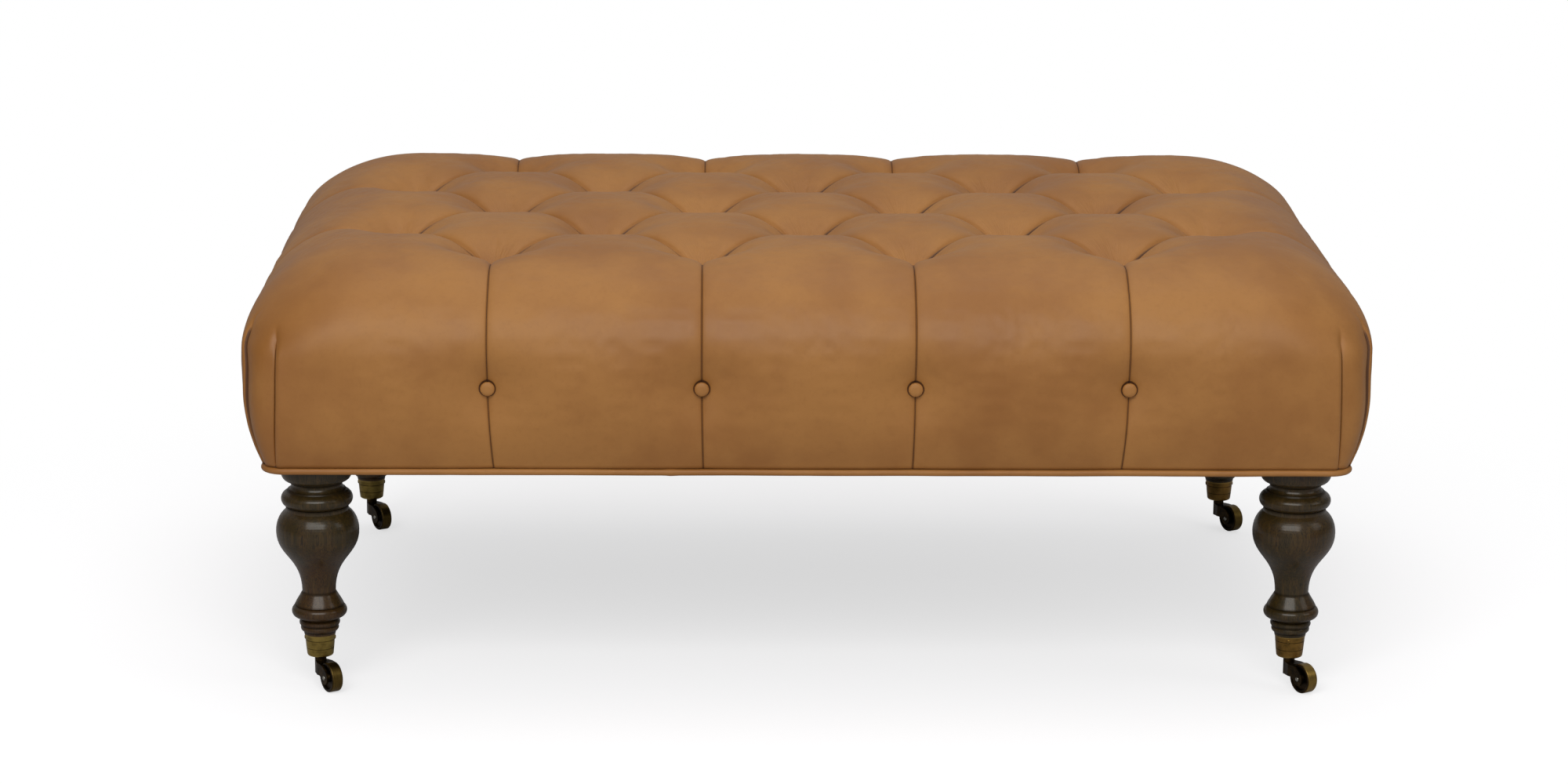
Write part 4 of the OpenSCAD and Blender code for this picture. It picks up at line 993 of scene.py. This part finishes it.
# Cloth and foam cut from a flat sheet
# A rounded rectangle with round holes as points, four-sided faces and its open edges
def cutSheet(halfX, halfY, bend, holes, lines):
    xs, ys = (crowded(-half, half, *line) for half, line in zip((halfX, halfY), lines))
    inner = np.array([halfX - bend, halfY - bend])
    middles = np.stack(np.meshgrid((xs[1:] + xs[:-1]) / 2, (ys[1:] + ys[:-1]) / 2, indexing="ij"), -1)
    keep = np.linalg.norm(np.clip(np.abs(middles) - inner, 0, None), axis=-1) < bend
    for hx, hy, r in holes:
        keep &= np.linalg.norm(middles - (hx, hy), axis=-1) > r
    points = np.stack([way.ravel() for way in np.meshgrid(xs, ys, indexing="ij")], -1)
    number = np.arange(len(points)).reshape(len(xs), len(ys))
    faces = np.stack(quads(number), -1)[keep].tolist()
    edges = {(face[n], face[(n + 1) % 4]): 1 for face in faces for n in range(4)}
    rim = [(a, b) for a, b in edges if (b, a) not in edges]
    for p in {p for pair in rim for p in pair}:
        beyond = np.abs(points[p]) - inner
        for hx, hy, r in holes:
            way = points[p] - (hx, hy)
            far = math.hypot(*way)
            if far < r * 1.5 + 4:
                points[p] = (hx, hy) + way * r / far
                break
        else:
            if beyond.min() > 0:
                points[p] = np.copysign(inner + beyond * bend / math.hypot(*beyond), points[p])
    return points, faces, rim


# The sheet as a closed slab between two heights that vary over it
def slab(name, sheet, top, bottom, material):
    points, faces, rim = sheet
    used = sorted({p for face in faces for p in face})
    number = {p: n for n, p in enumerate(used)}
    flat, count = points[used], len(used)
    both = np.concatenate([np.column_stack([flat, top(flat)]), np.column_stack([flat, bottom(flat)])])
    upper = [[number[p] for p in face] for face in faces]
    lower = [[p + count for p in face[::-1]] for face in upper]
    walls = [(number[b], number[a], number[a] + count, number[b] + count) for a, b in rim]
    return meshObject(name, both, upper + lower + walls, material)


def blackCloth(recipe):
    fibre, patch = recipe.noise(900.0, 3.0, Distortion=2.2), recipe.noise(60.0, 3.0)
    colour = recipe.mix(fibre.rise(0.35, 0.7), "#0f0f11", "#2b2b2e")
    return recipe.finish(colour=recipe.mix(patch * 0.35, colour, "#1b1a19"), specular=0.2,
                         roughness=0.86 + (patch - 0.5) * 0.16, normal=recipe.bump(fibre, 0.0003, 0.6),
                         sheen=0.15)


def creamFoam(recipe):
    age = recipe.noise(9.0, 4.0, 0.55)
    pore = recipe.cells(520.0) * 0.6 + recipe.cells(1300.0) * 0.4
    colour = recipe.mix(pore.rise(0.1, 0.75), "#c9b88c", "#efe6c9")
    return recipe.finish(colour=recipe.mix(age.rise(0.4, 0.75) * 0.4, colour, "#dcc48e"), specular=0.15,
                         roughness=0.94 - pore * 0.1, normal=recipe.bump(pore, 0.0009, 0.6))


def brightSteel(recipe):
    cloud, scratch = recipe.noise(220.0), recipe.noise(1.0, 3.0, stretch=(700, 700, 40))
    colour = recipe.mix(cloud.rise(0.3, 0.75), "#8f8d86", "#c3c0b6")
    return recipe.finish(colour=recipe.mix(scratch.rise(0.6, 0.75) * 0.4, colour, "#5f5c55"),
                         metallic=1.0, roughness=0.28 + cloud * 0.2,
                         normal=recipe.bump(scratch, 0.00006, 0.4))


steel = materialOf(brightSteel)
legPlaces = [(x, y) for x in (-540, 540) for y in (-332, 332)]
dustCloth = {"inset": 6, "bend": 15, "hole": 40.9, "sag": 2.6, "pull": 0.9, "thick": 0.6, "hem": 13,
             "top": 258.9, "drawn": 0.999, "edgeDip": 0.35,
             "lines": ((190, (-540, 540), 1.5, 45), (124, (-332, 332), 1.5, 45)),
             "stapleStep": 38, "stapleIn": 9, "stapleBend": 12, "stapleClear": 50, "stapleWide": 10.5,
             "stapleWire": 0.9, "stapleLeg": 2.0}


# The leg holes that lie within the sheet
def holeArea(halfX, halfY):
    a, r = np.linspace(0, 2 * math.pi, 721)[:-1], np.linspace(0, dustCloth["hole"], 81)
    total = 0
    for x, y in legPlaces:
        gx, gy = x + np.outer(np.cos(a), r), y + np.outer(np.sin(a), r)
        inside = (np.abs(gx) < halfX) & (np.abs(gy) < halfY)
        total += (inside[:, 1:] * (r[1:] + r[:-1]) / 2).sum() * r[1] * 2 * math.pi / len(a)
    return total


def makeDustCover():
    d = dustCloth
    halfX, halfY = halfL - d["inset"], halfD - d["inset"]
    sheet = cutSheet(halfX, halfY, d["bend"], [(x, y, d["hole"]) for x, y in legPlaces], d["lines"])

    # tacked flat on the frame and round the legs, slack between
    def top(flat):
        far = np.minimum(halfX - np.abs(flat[:, 0]), halfY - np.abs(flat[:, 1]))
        for x, y in legPlaces:
            far = np.minimum(far, np.hypot(flat[:, 0] - x, flat[:, 1] - y) - 41)
        spot = np.column_stack([flat, np.zeros(len(flat))])
        pull = ripple(spot * (1, 0.4, 1), 46, 51) + 0.6 * ripple(spot * (0.4, 1, 1), 30, 52)
        fold = np.clip((d["hem"] - far) / 0.8, 0, 1) * d["thick"]
        nearEdge = np.exp(-((far - 20) / 16) ** 2)
        low = (smooth((far - d["hem"]) / 90) * (d["sag"] + d["pull"] * pull)
               + nearEdge * d["edgeDip"] * (1 + pull) + fold)
        return d["top"] - np.maximum(low, 0) * d["drawn"]

    piece = slab("dustCloth", sheet, top, lambda flat: top(flat) - d["thick"], materialOf(blackCloth))
    area = 4 * halfX * halfY - (4 - math.pi) * d["bend"] ** 2 - holeArea(halfX, halfY)
    finishPiece(piece, ["dust_cover"])
    print("dust cover")


def stapleShape():
    half, wire, leg = dustCloth["stapleWide"] / 2, dustCloth["stapleWire"] / 2, dustCloth["stapleLeg"]
    left = [(-half, -leg), (-half, -0.5), (-half + 0.5, wire)]
    path = left + [(0, wire * 1.1)] + [(-x, z) for x, z in left[::-1]]
    turns = [-math.pi / 3 * m for m in range(6)]
    rings = []
    for (bx, bz), (x, z), (ax, az) in zip(path[:1] + path, path, path[1:] + path[-1:]):
        dx, dz = np.array((ax - bx, az - bz)) / math.hypot(ax - bx, az - bz) * wire
        rings.append([(x - dz * math.cos(a), 1.2 * wire * math.sin(a), z + dx * math.cos(a))
                      for a in turns])
    return skin("stapleShape", rings, steel, capped=True)


def makeStaples():
    d = dustCloth
    halfX, halfY = (half - d["inset"] - d["stapleIn"] for half in (halfL, halfD))
    path, aims = outline(halfX, halfY, d["stapleBend"], d["stapleStep"])
    low = d["top"] - 2 * d["thick"] - 0.1
    points, runs = [], []
    for (x, y), (ax, ay) in zip(path, aims):
        fromLeg = min(math.hypot(x - lx, y - ly) for lx, ly in legPlaces)
        onCorner = abs(x) >= halfX - d["stapleBend"] - 1 and abs(y) >= halfY - d["stapleBend"] - 1
        if fromLeg > d["stapleClear"] and not onCorner:
            points.append((x, y, low))
            runs.append((-ay, ax, 0))
    made = place("dustClothStaples", points, [(0, 0, -1)] * len(points), runs, stapleShape(), steel,
                 61, 0.16)
    finishPiece(made, [])


foamSlab = {"inset": 14.4, "bend": 10, "bottom": 386.3, "top": 433.4, "holes": 2.8, "edge": 6, "dip": 5,
            "lines": ((250, [c * halfPitch for c in range(-4, 5)], 9, 4),
                      (150, [r * rowPitch for r in range(-2, 3)], 9, 4))}


def makeFoam():
    f = foamSlab
    halfX, halfY = halfL - f["inset"], halfD - f["inset"]
    sheet = cutSheet(halfX, halfY, f["bend"], [(x, y, f["holes"]) for x, y in tufts], f["lines"])

    def top(flat):
        far = np.minimum(halfX - np.abs(flat[:, 0]), halfY - np.abs(flat[:, 1]))
        edge = np.clip(1 - far / f["edge"], 0, 1)
        near = np.min([np.hypot(flat[:, 0] - x, flat[:, 1] - y) for x, y in tufts], axis=0)
        bumps = ripple(np.column_stack([flat, np.zeros(len(flat))]), 25, 71)
        return (f["top"] - f["edge"] * (1 - np.sqrt(1 - edge * edge)) * 0.7
                - f["dip"] * np.exp(-near / 9) + 0.15 * bumps)

    piece = slab("foamSlab", sheet, top, lambda flat: np.full(len(flat), f["bottom"]),
                 materialOf(creamFoam))
    finishPiece(piece, ["base_foam"])
    print("foam")


# Finishes of the solids that stay
legLook = {"deep": "#130d05", "olive": "#352a11", "red": "#432c11", "pale": "#523d1c",
           "grooves": (64.5, 72.6, 80.0, 95.2, 110.0, 208.2, 227.0, 236.4)}


def darkOak(recipe):
    look = legLook
    zone = recipe.noise(16.0, 3.0, stretch=(1, 1, 0.45))
    broad = recipe.noise(260.0, 3.0, stretch=(1, 1, 0.03))
    pores = recipe.noise(1250.0, 2.0, stretch=(1, 1, 0.035))
    fleck = recipe.noise(700.0, 2.0, stretch=(1, 1, 0.12))
    groove = recipe.nearHeights(look["grooves"], 2.6)
    colour = recipe.layers(
        recipe.mix(zone.rise(0.38, 0.66), look["olive"], look["red"]),
        (broad.rise(0.42, 0.72) * 0.55, look["pale"]),
        (pores.rise(0.52, 0.64) * 0.75, look["deep"]),
        (fleck.rise(0.6, 0.7) * 0.35, look["deep"]),
        (groove * 0.55, look["deep"]))
    return recipe.finish(colour=colour, coat=0.6 - groove * 0.42, coatRoughness=0.2, specular=0.1,
                         normal=recipe.bump(broad * 0.3 - pores.rise(0.5, 0.66), 0.00022),
                         roughness=0.44 + (zone - 0.5) * 0.18 + groove * 0.12)


brassLook = {"bright": "#a58d4a", "patina": "#4c3e1f", "warm": "#967239", "line": "#2a2110",
             "edge": "#c4a864", "lines": (45.2, 54.6), "edges": (37.2, 60.2)}


def agedBrass(recipe):
    look = brassLook
    lathe, cloud = recipe.noise(1.0, 3.0, stretch=(22, 22, 2600)), recipe.noise(90.0)
    line, edge = recipe.nearHeights(look["lines"], 0.65), recipe.nearHeights(look["edges"], 1.3)
    colour = recipe.layers(
        recipe.mix(recipe.at.axes()[0].rise(-0.1, 0.1), look["bright"], look["warm"]),
        (cloud.rise(0.35, 0.75) * 0.7, look["patina"]),
        (lathe.rise(0.45, 0.7) * 0.35, look["patina"]),
        (line * 0.85, look["line"]),
        (edge * 0.4, look["edge"]))
    return recipe.finish(colour=colour, metallic=1.0, normal=recipe.bump(lathe, 0.00012),
                         roughness=0.3 + cloud * 0.14 + line * 0.25 + (lathe - 0.5) * 0.1)


bronzeLook = {"dark": "#2a2115", "mid": "#4c3b21", "worn": "#80683a"}


def darkBronze(recipe):
    look = bronzeLook
    cloud, scratch = recipe.noise(140.0), recipe.noise(1.0, stretch=(60, 60, 900))
    colour = recipe.mix(cloud.rise(0.35, 0.7), look["dark"], look["mid"])
    return recipe.finish(colour=recipe.mix(scratch.rise(0.58, 0.72) * 0.45, colour, look["worn"]),
                         metallic=1.0, roughness=0.36 + cloud * 0.16,
                         normal=recipe.bump(scratch * 0.4 + cloud, 0.00018))


# The casters are parked alike, as in the CAD: their axles lie 32 degrees off the ottoman's length
wheelLook = {"side": "#35291a", "tread": "#9b7f42", "dull": "#5c4a28", "tyre": 14.9, "wide": 5.2,
             "hub": 4.0, "parked": 32}


# A wheel's tread is rubbed bright, with fine lines round it; its dished sides stay dark; bright scales the
# tread's colour, a painted highlight on the lit wheel
def wheelMetal(name, centre, bright):
    look, recipe = wheelLook, Recipe(name)
    at = recipe.vector("SUBTRACT", recipe.at, centre)
    turn = math.radians(look["parked"])
    axle, ahead = (math.cos(turn), math.sin(turn), 0), (-math.sin(turn), math.cos(turn), 0)
    along, across = (recipe.vector("DOT_PRODUCT", at, way, "Value") for way in (axle, ahead))
    up = at.axes()[2]
    radius = (across * across + up * up).root() * 1000
    tread = (radius.rise(look["tyre"], look["tyre"] + 0.9)
             * (1 - (abs(along) * 1000).rise(look["wide"], look["wide"] + 1.3)))
    lines = recipe.node("ShaderNodeCombineXYZ", {0: along * 2400, 1: up.angle(across) * 1.3})
    brushed, cloud = recipe.noise(1.0, 3.0, at=lines), recipe.noise(170.0, at=at)
    rubbed = recipe.mix(brushed.rise(0.4, 0.72), tint(look["tread"], bright), tint(look["dull"], bright))
    colour = recipe.layers(
        recipe.mix(cloud.rise(0.35, 0.7), tint(look["side"], 0.7), tint(look["side"], 1.4)),
        (tread, rubbed),
        ((1 - radius.rise(look["hub"], look["hub"] + 1.4)) * 0.5, look["dull"]))
    return recipe.finish(colour=colour, metallic=1.0, roughness=0.36 + cloud * 0.12 - tread * 0.06,
                         normal=recipe.bump(brushed * tread + cloud * 0.5, 0.00012))


# Pale softwood with its rings and grain along one axis, 0 or 1
def paleWood(name, along):
    recipe = Recipe(name)
    drawn = recipe.vector("MULTIPLY", recipe.at, (1.0, 0.05, 1.0) if along else (0.05, 1.0, 1.0))
    sway, fibre = recipe.noise(9.0, 3.0, 0.5, at=drawn), recipe.noise(800.0, 3.0, at=drawn)
    x, y, z = drawn.axes()
    rings = (((x if along else y) + z * 0.7) * 620 + sway * 16).sine() * 0.5 + 0.5
    colour = recipe.mix(rings * rings, "#d9b98a", "#b98d57")
    return recipe.finish(colour=recipe.mix(fibre.rise(0.45, 0.75) * 0.4, colour, "#9c7343"),
                         specular=0.3, roughness=0.62 + fibre * 0.15,
                         normal=recipe.bump(fibre * 0.6 + rings * 0.2, 0.0003))


# Long-grained faces, and thin plies at the edges
def plywood(recipe):
    drawn = recipe.vector("MULTIPLY", recipe.at, (0.06, 1, 1))
    sway, fibre = recipe.noise(6.0, 3.0, 0.5, at=drawn), recipe.noise(700.0, 3.0, at=drawn)
    _, y, z = drawn.axes()
    rings = (y * 240 + sway * 22).sine() * 0.5 + 0.5
    plies = ((z - 0.374) * (math.pi / 0.0024)).sine().rise(-0.3, 0.3)
    within = z.rise(0.3742, 0.3746) * (1 - z.rise(0.3854, 0.3858))
    colour = recipe.layers(recipe.mix(rings * 0.7, "#d8bd8f", "#bd9664"),
                           (plies * within * 0.7, "#8d6538"), (fibre.rise(0.5, 0.75) * 0.35, "#9b7546"))
    return recipe.finish(colour=colour, roughness=0.66 + fibre * 0.12, specular=0.3,
                         normal=recipe.bump(fibre, 0.0003))


def waxedTwine(recipe):
    x, y, z = recipe.at.axes()
    twist, fuzz = ((x + y + z) * 5200).sine() * 0.5 + 0.5, recipe.noise(1500.0, 3.0)
    colour = recipe.mix(twist, "#8f7f5b", "#d3c59c")
    return recipe.finish(colour=recipe.mix(fuzz.rise(0.45, 0.75) * 0.4, colour, "#7a6a49"), specular=0.25,
                         roughness=0.8 + fuzz * 0.1, normal=recipe.bump(twist + fuzz * 0.5, 0.0003, 0.7))


brass = materialOf(agedBrass)


def dress(material, *names):
    for name in names:
        piece = cad[name]
        for n in range(max(1, len(piece.material_slots))):
            if len(piece.material_slots) <= n:
                piece.data.materials.append(material)
            piece.material_slots[n].material = material


def dressSolids():
    oak, bronze = materialOf(darkOak), materialOf(darkBronze)
    dress(paleWood("paleWoodLengthwise", 0),
          "front_rail", "rear_rail", "corner_blocks", "deck_anchors", "rail_anchors")
    dress(paleWood("paleWoodCrosswise", 1), "left_rail", "right_rail", "cross_rails", "rail_dowels")
    dress(materialOf(plywood), "deck_panel")
    dress(materialOf(waxedTwine), "top_twines", "side_twines")
    dress(steel, "block_screws", "deck_screws", "hanger_bolts", "bolt_washers", "bolt_nuts")
    for corner in ("front_left", "front_right", "rear_left", "rear_right"):
        dress(oak, "leg_" + corner)
        dress(brass, "cup_" + corner)
        dress(bronze, "fork_" + corner)
        dress(steel, "pin_" + corner, "axle_" + corner)
        wheel = "wheel_" + corner
        centre = tuple((a + b) / 2 for a, b in zip(*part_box(wheel)))
        # the front right wheel's tread is painted twice as bright as the others': a painted highlight from
        # the light on the right
        dress(wheelMetal(wheel + "_metal", centre, 1.0 if corner == "front_right" else 0.5), wheel)
    print("solids dressed")


makeDustCover()
makeStaples()
makeFoam()
dressSolids()

# Stitches down in the seams
thread = {"step": 2.2, "long": 1.5, "thick": 0.62, "sunk": -0.1, "lift": 0.12, "startAt": 3,
          "colour": "#4a2a16"}


def brownThread(recipe):
    twist = recipe.noise(1400.0, 2.0, 0.5)
    colour = recipe.mix(twist.rise(0.35, 0.7), thread["colour"], tint(thread["colour"], 2.1))
    return recipe.finish(colour=colour, roughness=0.75 + twist * 0.1, specular=0.25,
                         normal=recipe.bump(twist, 0.0002))


def stitchShape(material):
    half, r, sunk = thread["long"] / 2, thread["thick"] / 2 * 0.85, thread["sunk"]
    turns = [math.pi / 2 * n for n in range(4)]
    rings = [[(x, math.cos(a) * r, math.sin(a) * r) for a in turns] for x in (-half * 0.7, half * 0.7)]
    return skin("stitchShape", [[(-half, 0, sunk)]] + rings + [[(half, 0, sunk)]], material)


def makeStitches():
    mesh = coverPiece.data
    normals = np.empty(len(mesh.vertices) * 3, np.float32)
    mesh.vertex_normals.foreach_get("vector", normals)
    normals = normals.reshape(-1, 3)
    points, aims, runs = [], [], []
    for path in coverForm.seams():
        line, out = coverPoints[path], normals[path]
        way = np.concatenate([[0], np.cumsum(np.linalg.norm(np.diff(line, axis=0), axis=1))])
        at = np.arange(thread["startAt"], way[-1] - thread["startAt"], thread["step"])
        spot, aim, ahead = (np.column_stack([np.interp(where, way, values[:, n]) for n in range(3)])
                            for where, values in ((at, line), (at, out), (at + 0.5, line)))
        points.append(spot + aim * thread["lift"])
        aims.append(aim)
        runs.append(ahead - spot)
    points, material = np.concatenate(points), materialOf(brownThread)
    made = place("seamStitches", points, np.concatenate(aims), np.concatenate(runs),
                 stitchShape(material), material, 17, 0.12, 0.08)
    finishPiece(made, [])
    print("stitches", len(points))


makeStitches()

# The small cross-head screws of the cups
cupScrew = {"head": 2.5, "top": 0.9, "recess": 1.5, "arm": 0.36, "armEdge": 0.12, "deep": 0.55,
            "shaft": 1.15, "length": 8.6, "cross": (1.5, 1.42, 1.2, 0.95, 0.7, 0.45, 0.2),
            "level": 56.5, "seatRadius": 16.4040, "frontRight": -103}


def cupScrewShape():
    c = cupScrew
    head = [(c["shaft"] * 0.25, -c["length"]), (c["shaft"], -c["length"] + 2), (c["shaft"], -0.35),
            (c["head"] * 0.96, -0.3), (c["head"], 0.12), (c["head"] * 0.9, 0.45), (c["head"] * 0.75, 0.7),
            (c["recess"] * 1.05, 0.86)]

    def recessed(r, z, a):
        if z != c["top"] or r >= c["recess"] * 0.97:
            return r, z
        side = min(abs(r * math.sin(a)), abs(r * math.cos(a)))
        share = min(1, max(0, (c["arm"] + c["armEdge"] - side) / c["armEdge"]))
        return r, z - c["deep"] * share * min(1, (c["recess"] + 0.05 - r) / 0.3)

    cross = [(r, c["top"]) for r in c["cross"]]
    profile = [(0, -c["length"])] + head + cross + [(0, c["top"] - c["deep"])]
    return turned("cupScrewShape", profile, 48, brass, recessed)


def makeCupScrews():
    c, points, aims = cupScrew, [], []
    for x, y in legPlaces:
        first = c["frontRight"] if (x > 0 and y < 0) else 0
        for turn in (first, first + 180):
            aim = (math.cos(math.radians(turn)), math.sin(math.radians(turn)), 0)
            aims.append(aim)
            points.append((x + aim[0] * c["seatRadius"], y + aim[1] * c["seatRadius"], c["level"]))
    made = place("cupScrews", points, aims, [(0, 0, 1)] * len(aims), cupScrewShape(), brass, 4, 0.7)
    finishPiece(made, ["cup_screws"])
    print("cup screws")


makeCupScrews()
